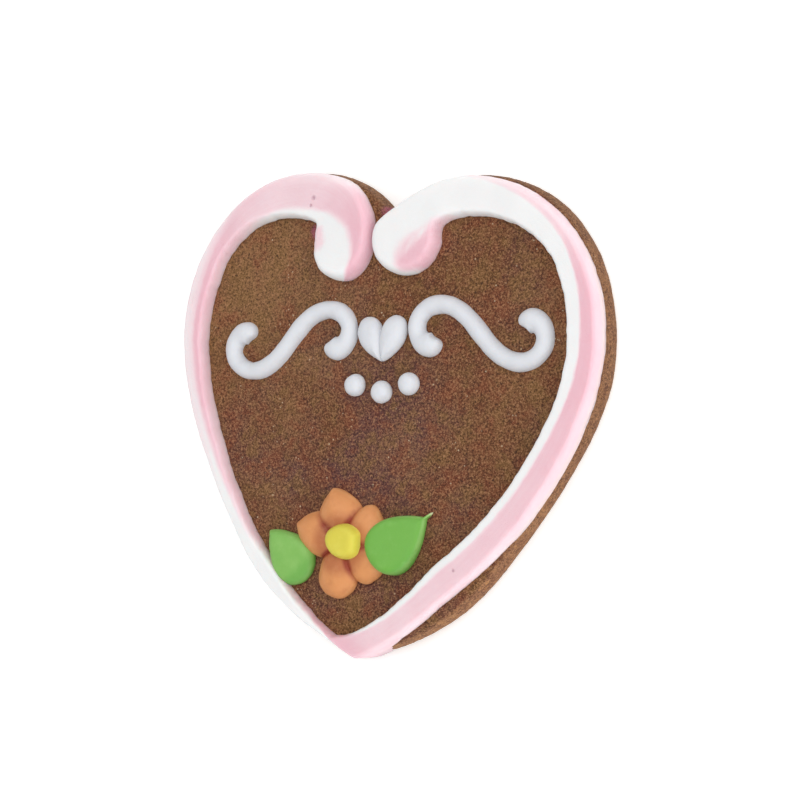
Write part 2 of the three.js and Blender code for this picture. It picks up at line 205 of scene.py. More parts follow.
def inside(points: np.ndarray, outline: np.ndarray) -> np.ndarray:
    """Which points lie inside a closed outline.

    Args:
        points: (x, y) rows.
        outline: (x, y) rows.

    Returns:
        True or False for each point.
    """
    x, y = points[:, 0], points[:, 1]
    hits = np.zeros(len(points), int)
    for (x0, y0), (x1, y1) in zip(outline, np.roll(outline, -1, axis=0)):
        if y0 == y1:
            continue
        crosses = (y0 > y) != (y1 > y)
        hits += crosses & (x < (x1 - x0) * (y - y0) / (y1 - y0) + x0)
    return hits % 2 == 1


def smooth_step(value: np.ndarray, low: float | np.ndarray, high: float | np.ndarray) -> np.ndarray:
    """Rises smoothly from 0 at low to 1 at high.

    Args:
        value: The numbers.
        low: Where it starts.
        high: Where it ends.

    Returns:
        Numbers from 0 to 1.
    """
    share = np.clip((value - low) / (np.asarray(high) - low), 0.0, 1.0)
    return share * share * (3 - 2 * share)


def closeness(points: np.ndarray, others: np.ndarray, reach: float) -> np.ndarray:
    """How near points lie to others.

    Args:
        points: (x, y, z) rows.
        others: Rows of the same kind.
        reach: The distance from which it counts as nothing.

    Returns:
        1 where a point touches the others, falling smoothly to 0 at the reach.
    """
    tree = KDTree(len(others))
    for number, place in enumerate(others.tolist()):
        tree.insert(place, number)
    tree.balance()
    away = np.array([tree.find(place)[2] for place in points.tolist()])
    return 1 - smooth_step(away, 0.0, reach)


@dataclass(frozen=True)
class Wobble:
    """The small unevenness of a hand along a line: a few slow waves with chance phases."""

    depth: float
    lengths: tuple[float, ...] = (19.0, 11.3, 7.1, 4.6, 3.3, 2.4)
    seed: int = 0

    def along(self, distance: np.ndarray) -> np.ndarray:
        """The unevenness along the line.

        Args:
            distance: How far along each place is.

        Returns:
            One number for each, within plus or minus depth.
        """
        draw = np.random.default_rng(self.seed)
        total = np.zeros_like(distance)
        weight = 0.0
        for length in self.lengths:
            share = math.sqrt(length)
            total += share * np.sin(math.tau * distance / length + draw.uniform(0, math.tau))
            weight += share
        return self.depth * total / weight


# ---- Meshes ----------------------------------------------------------------------------------


def link_object(name: str, data: Any) -> Piece:
    """Puts data in the scene.

    Args:
        name: The new object's name.
        data: A mesh, a lamp or a camera.

    Returns:
        The object, at the origin.
    """
    made = bpy.data.objects.new(name, data)
    bpy.context.scene.collection.objects.link(made)
    return made


def ring_faces(rings: int, around: int) -> Skin:
    """Quads between closed rings that lie one after the other.

    Args:
        rings: How many rings.
        around: Points in each ring.

    Returns:
        The faces.
    """
    i, j = np.meshgrid(np.arange(rings - 1), np.arange(around), indexing="ij")
    following = (j + 1) % around
    low, high = i * around, (i + 1) * around
    corners = [low + j, low + following, high + following, high + j]
    return np.stack(corners, axis=2).reshape(-1, 4).tolist()


def fan_faces(ring: Sequence[int], tip: int) -> Skin:
    """Returns the triangles that close a ring with one vertex at its middle."""
    return [(a, b, tip) for a, b in zip(ring, [*ring[1:], ring[0]])]


def closed_rings(rings: np.ndarray) -> tuple[np.ndarray, Skin]:
    """A closed skin over rings, both ends shut by a fan.

    Args:
        rings: An array of ring by point by (x, y, z).

    Returns:
        The vertices, of which the last two are the ends' middles, and the faces.
    """
    count, around = rings.shape[:2]
    ends = np.stack([rings[0].mean(0), rings[-1].mean(0)])
    vertices = np.vstack([rings.reshape(-1, 3), ends])
    faces = ring_faces(count, around)
    faces += fan_faces(list(range(around))[::-1], count * around)
    faces += fan_faces(list(range((count - 1) * around, count * around)), count * around + 1)
    return vertices, faces


def joined(parts: Sequence[MeshParts]) -> MeshParts:
    """Several meshes as one.

    Args:
        parts: The vertices, the faces and the marks of each. All have the same marks.

    Returns:
        Their vertices, faces and marks together.
    """
    faces: Skin = []
    start = 0
    for points, skin, _ in parts:
        faces += [[number + start for number in face] for face in skin]
        start += len(points)
    marks = {name: np.concatenate([kept[name] for _, _, kept in parts]) for name in parts[0][2]}
    return np.vstack([points for points, _, _ in parts]), faces, marks


def mesh_object(
    name: str, vertices: np.ndarray, faces: Skin, marks: Marks | None = None, merge: float = 0.0
) -> Piece:
    """A smooth mesh object whose faces point outwards.

    Args:
        name: The object's name.
        vertices: (x, y, z) rows in millimetres.
        faces: Vertex numbers of each face.
        marks: Numbers or vectors kept for each vertex, by name.
        merge: Vertices nearer than this, in millimetres, become one. It drops marks.

    Returns:
        The object, at the origin.
    """
    data = bpy.data.meshes.new(name)
    data.from_pydata((np.asarray(vertices) * MM).tolist(), [], [list(f) for f in faces])
    for mark, values in (marks or {}).items():
        vector = values.ndim == 2
        layer = data.attributes.new(mark, "FLOAT_VECTOR" if vector else "FLOAT", "POINT")
        layer.data.foreach_set("vector" if vector else "value", values.astype(np.float32).ravel())
    shell = bmesh.new()
    shell.from_mesh(data)
    if merge:
        bmesh.ops.remove_doubles(shell, verts=shell.verts[:], dist=merge * MM)
    bmesh.ops.recalc_face_normals(shell, faces=shell.faces[:])
    if shell.calc_volume(signed=True) < 0:
        bmesh.ops.reverse_faces(shell, faces=shell.faces[:])
    shell.to_mesh(data)
    shell.free()
    data.shade_smooth()
    return link_object(name, data)


# ---- Node trees ------------------------------------------------------------------------------


@dataclass(frozen=True)
class Cloud:
    """A cloudy noise: its size, its finer layers, their strength and its seed.

    The size counts in the unit of the coordinates. In a Geometry Nodes tree the size and the seed
    are values of the tree.
    """

    size: Any
    detail: float
    rough: float
    seed: Any


@dataclass(frozen=True)
class Cover:
    """How a pattern covers what lies under it: not at all at low, and at its full at high."""

    low: float
    high: float
    full: float = 1.0


@dataclass(frozen=True)
class Value:
    """A socket that takes part in Python's arithmetic by adding Math nodes."""

    graph: "Graph"
    socket: bpy.types.NodeSocket

    def math(self, operation: str, *numbers: Any, clamp: bool = False) -> "Value":
        """Returns a Math node's result on numbers, values or both."""
        settings = {"operation": operation, "use_clamp": clamp}
        return self.graph.value("ShaderNodeMath", settings, dict(enumerate(numbers)))

    def __add__(self, other: Any) -> "Value":
        """Returns self + other."""
        return self.math("ADD", self, other)

    def __radd__(self, other: Any) -> "Value":
        """Returns other + self."""
        return self.math("ADD", other, self)

    def __sub__(self, other: Any) -> "Value":
        """Returns self - other."""
        return self.math("SUBTRACT", self, other)

    def __rsub__(self, other: Any) -> "Value":
        """Returns other - self."""
        return self.math("SUBTRACT", other, self)

    def __mul__(self, other: Any) -> "Value":
        """Returns self * other."""
        return self.math("MULTIPLY", self, other)

    def __rmul__(self, other: Any) -> "Value":
        """Returns other * self."""
        return self.math("MULTIPLY", other, self)

    def __truediv__(self, other: Any) -> "Value":
        """Returns self / other."""
        return self.math("DIVIDE", self, other)

    def __rtruediv__(self, other: Any) -> "Value":
        """Returns other / self."""
        return self.math("DIVIDE", other, self)

    def least(self, other: Any) -> "Value":
        """Returns the lesser of self and other."""
        return self.math("MINIMUM", self, other)

    def most(self, other: Any) -> "Value":
        """Returns the greater of self and other."""
        return self.math("MAXIMUM", self, other)

    def root(self) -> "Value":
        """Returns the square root of self."""
        return self.math("SQRT", self)

    def held(self) -> "Value":
        """Returns self held between 0 and 1."""
        return self.math("ADD", self, 0.0, clamp=True)

    def rise(self, low: float, high: float) -> "Value":
        """A smooth step up or down.

        Args:
            low: Where it is 0.
            high: Where it is 1. It may be the smaller.

        Returns:
            A value from 0 to 1.
        """
        settings = {"interpolation_type": "SMOOTHSTEP"}
        inputs = {"Value": self, "From Min": min(low, high), "From Max": max(low, high)}
        step = self.graph.value("ShaderNodeMapRange", settings, inputs)
        return 1.0 - step if high < low else step

    def cover(self, cover: Cover) -> "Value":
        """Returns how strongly a pattern covers what lies under it."""
        return self.rise(cover.low, cover.high) * cover.full

    def swing(self, width: float) -> "Value":
        """Returns a noise's swing about zero, of that width, for its own swing about a half."""
        return (self - 0.5) * width


@dataclass
class Graph:
    """A node tree. One method makes every node, from its settings and its sockets' values."""

    tree: bpy.types.NodeTree

    @staticmethod
    def socket(sockets: Any, key: str | int) -> bpy.types.NodeSocket:
        """Finds a socket that is in use.

        Args:
            sockets: A node's inputs or outputs.
            key: The socket's name, identifier or number.

        Returns:
            The socket.
        """
        if isinstance(key, int):
            return sockets[key]
        return next(s for s in sockets if s.enabled and key in (s.identifier, s.name))

    def feed(self, target: bpy.types.NodeSocket, value: Any) -> None:
        """Gives an input its value.

        Args:
            target: The input.
            value: A value or socket to link, or a plain number, colour or word.
        """
        source = value.socket if isinstance(value, Value) else value
        if isinstance(source, bpy.types.NodeSocket):
            self.tree.links.new(source, target)
        else:
            target.default_value = source

    def node(self, kind: str, settings: Settings = None, inputs: Inputs = None) -> bpy.types.Node:
        """Makes a node.

        Args:
            kind: Its type.
            settings: Its own settings, set first.
            inputs: The value or link of each socket, by name, identifier or number.

        Returns:
            The node.
        """
        made = self.tree.nodes.new(kind)
        for name, value in (settings or {}).items():
            setattr(made, name, value)
        for key, value in (inputs or {}).items():
            self.feed(self.socket(made.inputs, key), value)
        return made

    def value(
        self, kind: str, settings: Settings = None, inputs: Inputs = None, output: str = ""
    ) -> Value:
        """Makes a node for one of its outputs.

        Args:
            kind: As for node.
            settings: As for node.
            inputs: As for node.
            output: The output's name, or nothing for the first in use.

        Returns:
            The output.
        """
        made = self.node(kind, settings, inputs)
        if output:
            return Value(self, self.socket(made.outputs, output))
        return Value(self, next(s for s in made.outputs if s.enabled))

    def vector(self, operation: str, *parts: Any) -> Value:
        """Returns a Vector Math node's result."""
        return self.value("ShaderNodeVectorMath", {"operation": operation}, dict(enumerate(parts)))

    def scaled(self, vector: Any, factor: Any) -> Value:
        """Returns a vector times a number."""
        inputs = {"Vector": vector, "Scale": factor}
        return self.value("ShaderNodeVectorMath", {"operation": "SCALE"}, inputs)

    def noise(self, cloud: Cloud, place: Any) -> Value:
        """A cloudy noise.

        Args:
            cloud: Its size, layers and seed.
            place: The coordinates.

        Returns:
            A value from about 0.2 to 0.8.
        """
        inputs = {
            "Vector": place,
            "W": cloud.seed,
            "Scale": 1.0 / cloud.size,
            "Detail": cloud.detail,
            "Roughness": cloud.rough,
        }
        return self.value("ShaderNodeTexNoise", {"noise_dimensions": "4D"}, inputs)


def srgb(red: int, green: int, blue: int) -> Rgb:
    """The linear colour of a screen colour.

    Args:
        red: Its red, from 0 to 255.
        green: Its green.
        blue: Its blue.

    Returns:
        Three numbers from 0 to 1.
    """

    def linear(part: int) -> float:
        """Returns one channel's linear value."""
        share = part / 255
        return share / 12.92 if share <= 0.04045 else ((share + 0.055) / 1.055) ** 2.4

    return linear(red), linear(green), linear(blue)


class Shader(Graph):
    """A material's node tree, in millimetres of the piece's own coordinates."""

    def __init__(self, name: str) -> None:
        """Starts an empty material.

        Args:
            name: The material's name.
        """
        self.material = bpy.data.materials.new(name)
        self.material.use_nodes = True
        super().__init__(self.material.node_tree)
        self.tree.nodes.clear()
        place = self.value("ShaderNodeTexCoord", {}, {}, output="Object")
        self.place = self.scaled(place, 1.0 / MM)

    def axes(self) -> tuple[Value, Value, Value]:
        """Returns the place's x, y and z."""
        apart = self.node("ShaderNodeSeparateXYZ", {}, {0: self.place})
        return tuple(Value(self, s) for s in apart.outputs)

    def stretched(self, place: Any, by: Sequence[float]) -> Value:
        """Returns coordinates multiplied part by part."""
        return self.vector("MULTIPLY", place, tuple(by))

    def mark(self, name: str, output: str = "Fac") -> Value:
        """Returns what a mesh keeps for each vertex under that name."""
        return self.value("ShaderNodeAttribute", {"attribute_name": name}, {}, output=output)

    def cloud(self, cloud: Cloud, place: Any = None) -> Value:
        """Returns a cloudy noise, over the piece's own coordinates unless others are given."""
        return self.noise(cloud, self.place if place is None else place)

    def cells(self, size: float) -> Value:
        """Returns the distance to the nearest of scattered points, in steps of size."""
        inputs = {"Vector": self.place, "Scale": 1.0 / size}
        return self.value("ShaderNodeTexVoronoi", {}, inputs, output="Distance")

    def mix(self, factor: Any, a: Any, b: Any) -> Value:
        """Mixes two colours.

        Args:
            factor: How much of the second, from 0 to 1.
            a: The first colour.
            b: The second.

        Returns:
            The mixed colour.
        """
        ends = [(*c, 1.0) if isinstance(c, tuple) else c for c in (a, b)]
        inputs = {"Factor_Float": factor, "A_Color": ends[0], "B_Color": ends[1]}
        return self.value("ShaderNodeMix", {"data_type": "RGBA"}, inputs, output="Result_Color")

    def near(self, x: float, y: float, reach: float) -> Value:
        """A soft round spot seen from above.

        Args:
            x: Its middle's x in millimetres.
            y: Its middle's y.
            reach: Its radius.

        Returns:
            1 in the middle, falling to 0 at the reach.
        """
        ends = {0: self.stretched(self.place, (1.0, 1.0, 0.0)), 1: (x, y, 0.0)}
        settings = {"operation": "DISTANCE"}
        away = self.value("ShaderNodeVectorMath", settings, ends, output="Value")
        return away.rise(reach, 0.0)

    def bump(self, height: Any, depth: float, normal: Any = None) -> Value:
        """Relief that only the light sees.

        Args:
            height: The height, from 0 to 1.
            depth: What 1 stands for, in millimetres.
            normal: The relief that this one lies on.

        Returns:
            The normal.
        """
        inputs = {"Height": height, "Distance": depth * MM, "Strength": 1.0}
        if normal is not None:
            inputs["Normal"] = normal
        return self.value("ShaderNodeBump", {}, inputs)

    def finish(self, inputs: dict[str, Any]) -> Material:
        """Closes the tree on the surface shader.

        Args:
            inputs: The surface shader's inputs by name.

        Returns:
            The material.
        """
        surface = self.node("ShaderNodeBsdfPrincipled", {}, inputs)
        self.node("ShaderNodeOutputMaterial", {}, {"Surface": surface.outputs[0]})
        return self.material


class FormTree(Graph):
    """A Geometry Nodes tree with named inputs, which ends in Realize Instances and Set Material."""

    def __init__(self, name: str, sizes: dict[str, str]) -> None:
        """Starts a tree.

        Args:
            name: The tree's name.
            sizes: Each named input and its socket type, besides the shape and the material.
        """
        super().__init__(bpy.data.node_groups.new(name, "GeometryNodeTree"))
        self.tree.is_modifier = True
        face = self.tree.interface
        face.new_socket("Shape", in_out="OUTPUT", socket_type="NodeSocketGeometry")
        self.keys: dict[str, str] = {}
        for label, kind in {"Shape": "Geometry", **sizes, "Material": "Material"}.items():
            made = face.new_socket(label, in_out="INPUT", socket_type=f"NodeSocket{kind}")
            self.keys[label] = made.identifier
        self.source = self.node("NodeGroupInput")

    def given(self, label: str) -> Value:
        """Returns one of the tree's named inputs."""
        return Value(self, self.source.outputs[label])

    def named(self, mark: str) -> Value:
        """Returns what the mesh keeps for each vertex under that name."""
        return self.value("GeometryNodeInputNamedAttribute", {"data_type": "FLOAT"}, {"Name": mark})

    def end(self, shape: Any) -> None:
        """Closes the tree.

        Args:
            shape: Its finished shape.
        """
        real = self.value("GeometryNodeRealizeInstances", {}, {0: shape})
        smooth = self.value("GeometryNodeSetShadeSmooth", {}, {0: real})
        inputs = {"Geometry": smooth, "Material": self.given("Material")}
        dressed = self.value("GeometryNodeSetMaterial", {}, inputs)
        self.node("NodeGroupOutput", {}, {0: dressed})

    def apply(self, target: Piece, material: Material, **sizes: Any) -> None:
        """Runs the tree on an object and keeps the result as its plain mesh, with no modifier.

        Args:
            target: The object whose mesh is the tree's shape.
            material: The material that the tree sets.
            sizes: The named inputs, with _ for a space.
        """
        modifier = target.modifiers.new(self.tree.name, "NODES")
        modifier.node_group = self.tree
        for label, number in {**sizes, "Material": material}.items():
            modifier[self.keys[label.replace("_", " ")]] = number
        seen = bpy.context.evaluated_depsgraph_get()
        made = bpy.data.meshes.new_from_object(target.evaluated_get(seen), depsgraph=seen)
        made.name = target.name
        target.modifiers.remove(modifier)
        target.data = made


def relief_tree() -> FormTree:
    """A tree that presses a surface in by slow lumps and finer grain.

    Returns:
        The tree. Its Side number strengthens both on walls, and its Floor number weakens them
        on faces that point down.
    """
    kinds = ("Lump depth", "Lump size", "Grain depth", "Grain size", "Side", "Floor", "Seed")
    tree = FormTree("surface_relief", {kind: "Float" for kind in kinds})
    place = tree.value("GeometryNodeInputPosition")
    normal = tree.value("GeometryNodeInputNormal", {}, {}, output="Normal")
    up = Value(tree, tree.node("ShaderNodeSeparateXYZ", {}, {0: normal}).outputs["Z"])
    depth = 0.0
    for kind, rough, span in (("Lump", 0.5, (0.28, 0.72)), ("Grain", 0.6, (0.3, 0.7))):
        cloud = Cloud(tree.given(f"{kind} size"), 2.0, rough, tree.given("Seed"))
        depth = depth + tree.noise(cloud, place).rise(*span) * tree.given(f"{kind} depth")
    level, steep = 0.9, 0.4
    wall = up.rise(level, steep) * up.rise(-level, -steep)
    strength = 1.0 + wall * (tree.given("Side") - 1.0)
    strength = strength + up.rise(-steep, -level) * (tree.given("Floor") - 1.0)
    offset = tree.scaled(normal, 0.0 - depth * strength)
    inputs = {"Geometry": tree.given("Shape"), "Offset": offset}
    tree.end(tree.value("GeometryNodeSetPosition", {}, inputs))
    return tree


def crumb_tree() -> FormTree:
    """A tree that strews small rough crumbs over a surface, half sunk into it.

    Returns:
        The tree. Each crumb is between Smallest and Largest across.
    """
    kinds = {"Density": "Float", "Smallest": "Float", "Largest": "Float", "Seed": "Int"}
    tree = FormTree("strewn_crumbs", kinds)
    seed = {"Seed": tree.given("Seed")}
    inputs = {"Mesh": tree.given("Shape"), "Density": tree.given("Density"), **seed}
    spots = tree.node("GeometryNodeDistributePointsOnFaces", {}, inputs)
    crumb = tree.value("GeometryNodeMeshIcoSphere", {}, {"Radius": 0.5, "Subdivisions": 1})

    def chance(kind: str, span: dict[str, Any]) -> Value:
        """Returns a number or vector drawn for each crumb between Min and Max."""
        return tree.value("FunctionNodeRandomValue", {"data_type": kind}, span)

    full_turn = (6.28, 6.28, 6.28)
    spin = chance("FLOAT_VECTOR", {"Max": full_turn, **seed})
    span = {"Min": tree.given("Smallest"), "Max": tree.given("Largest")}
    across = chance("FLOAT", {**span, **seed})
    squash = chance("FLOAT_VECTOR", {"Min": (0.6, 0.6, 0.5), "Max": (1.2, 1.2, 0.9)})
    strewn = {
        "Points": Value(tree, spots.outputs["Points"]),
        "Instance": crumb,
        "Rotation": spin,
        "Scale": tree.scaled(squash, across),
    }
    tree.end(tree.value("GeometryNodeInstanceOnPoints", {}, strewn))
    return tree


def piped_tree() -> FormTree:
    """A tree that pipes a round-topped stroke along a line of points.

    Returns:
        The tree. The line keeps its half_width at each point. The stroke stands on Base, is
        Height high where it is Half width wide on each side, and reaches Sink below its base.
    """
    kinds = ("Base", "Height", "Half width", "Sink")
    tree = FormTree("piped_stroke", {kind: "Float" for kind in kinds})
    line = tree.value("GeometryNodeMeshToCurve", {}, {0: tree.given("Shape")})
    line = tree.value("GeometryNodeSetCurveNormal", {"mode": "Z_UP"}, {0: line})
    half = tree.named("half_width")
    sizes = {"Resolution": 28, "Radius": 1.0}
    circle = tree.value("GeometryNodeCurvePrimitiveCircle", {}, sizes)
    inputs = {"Curve": line, "Profile Curve": circle, "Scale": half, "Fill Caps": True}
    tube = tree.value("GeometryNodeCurveToMesh", {}, inputs)
    place = tree.value("GeometryNodeInputPosition")
    parts = tree.node("ShaderNodeSeparateXYZ", {}, {0: place})
    above = Value(tree, parts.outputs["Z"]) - tree.given("Base")
    steep = tree.given("Height") / (half * tree.given("Half width")).root()
    top = above.most(0.0) * steep
    low = above.least(0.0).most(0.0 - tree.given("Sink"))
    height = tree.given("Base") + top + low
    corner = {"X": parts.outputs["X"], "Y": parts.outputs["Y"], "Z": height}
    moved = tree.value("ShaderNodeCombineXYZ", {}, corner)
    shaped = tree.value("GeometryNodeSetPosition", {}, {"Geometry": tube, "Position": moved})
    welded = {"Geometry": shaped, "Distance": 0.01 * MM}
    tree.end(tree.value("GeometryNodeMergeByDistance", {}, welded))
    return tree


@dataclass(frozen=True)
class Relief:
    """How uneven a surface is: its slow lumps and its finer grain, in millimetres.

    side and floor are their strength on walls and on faces that point down.
    """

    lump_depth: float
    lump_size: float
    grain_depth: float = 0.02
    grain_size: float = 0.9
    side: float = 1.0
    floor: float = 0.0


@dataclass
class Workshop:
    """What every piece needs: the trees, and the way a finished piece joins the frame."""

    relief: FormTree
    crumbs: FormTree
    piping: FormTree

    @classmethod
    def open(cls) -> "Workshop":
        """Returns a workshop with its trees built."""
        return cls(relief_tree(), crumb_tree(), piped_tree())

    def roughen(self, piece: Piece, material: Material, relief: Relief, seed: int) -> None:
        """Presses a relief into a piece and gives it its material.

        Args:
            piece: The piece.
            material: Its material.
            relief: How deep the relief is and how coarse.
            seed: Another number gives another relief of that kind.
        """
        self.relief.apply(
            piece,
            material,
            Lump_depth=relief.lump_depth * MM,
            Lump_size=relief.lump_size * MM,
            Grain_depth=relief.grain_depth * MM,
            Grain_size=relief.grain_size * MM,
            Side=relief.side,
            Floor=relief.floor,
            Seed=float(seed),
        )

    @staticmethod
    def place(piece: Piece, slot: Slot, *nodes: str) -> None:
        """Hands a finished piece to the frame.

        Args:
            piece: The piece.
            slot: The material slot of the piece. It is not used.
            nodes: The solids that it stands for.
        """
        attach(piece, BODY)
        if nodes:
            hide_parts(*nodes)
        solids = ", ".join(nodes) or "no solid"
        LOG.info("%s: %d faces, for %s", piece.name, len(piece.data.polygons), solids)


# ---- Finishes --------------------------------------------------------------------------------


@dataclass(frozen=True)
class DoughFinish:
    """Baked gingerbread: mottled brown with a fine pale grain, warmer and crumbly at its side."""

    brown: Rgb = srgb(107, 65, 39)
    tan: Rgb = srgb(136, 98, 62)
    plum: Rgb = srgb(90, 54, 54)
    rust: Rgb = srgb(122, 62, 40)
    olive: Rgb = srgb(120, 88, 48)
    side: Rgb = srgb(160, 114, 76)
    side_dark: Rgb = srgb(126, 82, 56)
    side_fleck: Rgb = srgb(192, 136, 80)
    # Painted shade: the colour that the wall is mixed towards near the lobes.
    side_shade: Rgb = srgb(92, 60, 42)
    foot: Rgb = srgb(160, 128, 88)
    grain_dark: Rgb = srgb(50, 30, 22)
    grain_pale: Rgb = srgb(168, 124, 88)
    speck: Rgb = srgb(206, 184, 152)
    smear: Rgb = srgb(160, 86, 108)

    patches: Cloud = Cloud(22.0, 3.0, 0.55, 1.0)
    plum_patches: Cover = Cover(0.44, 0.6, 0.5)
    plum_middle: Cover = Cover(0.3, 0.56, 0.85)
    middle: Spot = (-6.0, -12.0, 46.0)
    tan_clouds: Cloud = Cloud(13.0, 3.0, 0.6, 5.0)
    tan_patches: Cover = Cover(0.46, 0.7, 0.4)
    tan_corner: Spot = (-40.0, 30.0, 46.0)
    tan_corner_strength: float = 0.8
    mottles: Cloud = Cloud(6.0, 4.0, 0.66, 6.0)
    rust_mottles: Cover = Cover(0.49, 0.63, 0.6)
    olive_mottles: Cover = Cover(0.51, 0.37, 0.6)

    swirl: Cloud = Cloud(7.0, 2.0, 0.5, 9.0)
    swirl_reach: float = 5.0
    swirled: Cloud = Cloud(2.6, 4.0, 0.7, 10.0)
    swirls: Cover = Cover(0.4, 0.6)
    fleck_clouds: Cloud = Cloud(1.2, 3.0, 0.7, 11.0)
    flecks: Cover = Cover(0.54, 0.66, 0.7)
    shade_towards_lobes: Cover = Cover(-45.0, 5.0, 0.5)

    shoulder: Cover = Cover(7.3, 6.1)
    lowest: Cover = Cover(1.1, 0.3, 0.7)
    grain: Cloud = Cloud(0.6, 3.0, 0.85, 3.0)
    fine: Cloud = Cloud(0.36, 2.0, 0.8, 4.0)
    fine_share: float = 0.4
    dark_grains: Cover = Cover(0.52, 0.38, 0.88)
    pale_grains: Cover = Cover(0.48, 0.62, 0.76)
    speck_spacing: float = 1.1
    speck_clouds: Cloud = Cloud(3.0, 2.0, 0.6, 7.0)
    speckled: Cover = Cover(0.58, 0.68)
    specks: Cover = Cover(0.26, 0.12, 0.7)
    smears: tuple[Spot, ...] = ((-21.4, 43.8, 3.2), (-1.2, 49.8, 3.6))
    smear_edge: Cover = Cover(0.05, 0.7)
    smear_grain: Cover = Cover(0.34, 0.56, 0.85)
    pore_spacing: float = 1.9
    pore_clouds: Cloud = Cloud(5.0, 1.0, 0.5, 8.0)
    porous: Cover = Cover(0.52, 0.62)
    pores: Cover = Cover(0.2, 0.06)
    pore_shade: float = 0.35
    pore_depth: float = 0.8
    relief: float = 0.3
    roughness: float = 0.82
    roughness_swing: float = 0.2

    def _face(self, s: Shader) -> Value:
        """The colour of the top.

        Args:
            s: The material's tree.

        Returns:
            Tan towards the upper left and plum in the middle, with rust and olive mottles.
        """
        patches = s.cloud(self.patches)
        plum = s.near(*self.middle) * patches.cover(self.plum_middle)
        plum = (patches.cover(self.plum_patches) + plum).held()
        colour = s.mix(plum, self.brown, self.plum)
        tan = s.near(*self.tan_corner) * self.tan_corner_strength
        tan = (s.cloud(self.tan_clouds).cover(self.tan_patches) + tan).held()
        colour = s.mix(tan, colour, self.tan)
        mottles = s.cloud(self.mottles)
        colour = s.mix(mottles.cover(self.rust_mottles), colour, self.rust)
        return s.mix(mottles.cover(self.olive_mottles), colour, self.olive)

    def _side(self, s: Shader) -> Value:
        """The colour of the wall.

        Args:
            s: The material's tree.

        Returns:
            Two browns in swirls with lighter flecks, and painted shade that darkens the wall
            towards the lobes.
        """
        swirl = s.scaled(s.cloud(self.swirl), self.swirl_reach)
        swirls = s.cloud(self.swirled, s.vector("ADD", s.place, swirl)).cover(self.swirls)
        colour = s.mix(swirls, self.side_dark, self.side)
        flecks = s.cloud(self.fleck_clouds).cover(self.flecks)
        colour = s.mix(flecks, colour, self.side_fleck)
        # Painted shade: the wall grows darker from the tip towards the lobes.
        return s.mix(s.axes()[1].cover(self.shade_towards_lobes), colour, self.side_shade)

    def material(self) -> Material:
        """Makes the material.

        Returns:
            The material, with its tree complete.
        """
        s = Shader("baked_gingerbread")
        height = s.axes()[2]
        colour = s.mix(height.cover(self.shoulder), self._face(s), self._side(s))
        colour = s.mix(height.cover(self.lowest), colour, self.foot)

        fine = s.cloud(self.fine)
        shade = s.cloud(self.grain) * (1 - self.fine_share) + fine * self.fine_share
        colour = s.mix(shade.cover(self.dark_grains), colour, self.grain_dark)
        colour = s.mix(shade.cover(self.pale_grains), colour, self.grain_pale)
        speckled = s.cloud(self.speck_clouds).cover(self.speckled)
        specks = s.cells(self.speck_spacing).cover(self.specks) * speckled
        colour = s.mix(specks, colour, self.speck)
        for spot in self.smears:
            tint = s.near(*spot).cover(self.smear_edge) * fine.cover(self.smear_grain)
            colour = s.mix(tint, colour, self.smear)

        porous = s.cloud(self.pore_clouds).cover(self.porous)
        pores = s.cells(self.pore_spacing).cover(self.pores) * porous
        inputs = {
            "Base Color": s.mix(pores * self.pore_shade, colour, self.grain_dark),
            "Roughness": self.roughness + fine.swing(self.roughness_swing),
            "Normal": s.bump(shade - pores * self.pore_depth, self.relief),
            "Specular IOR Level": 0.25,
        }
        return s.finish(inputs)


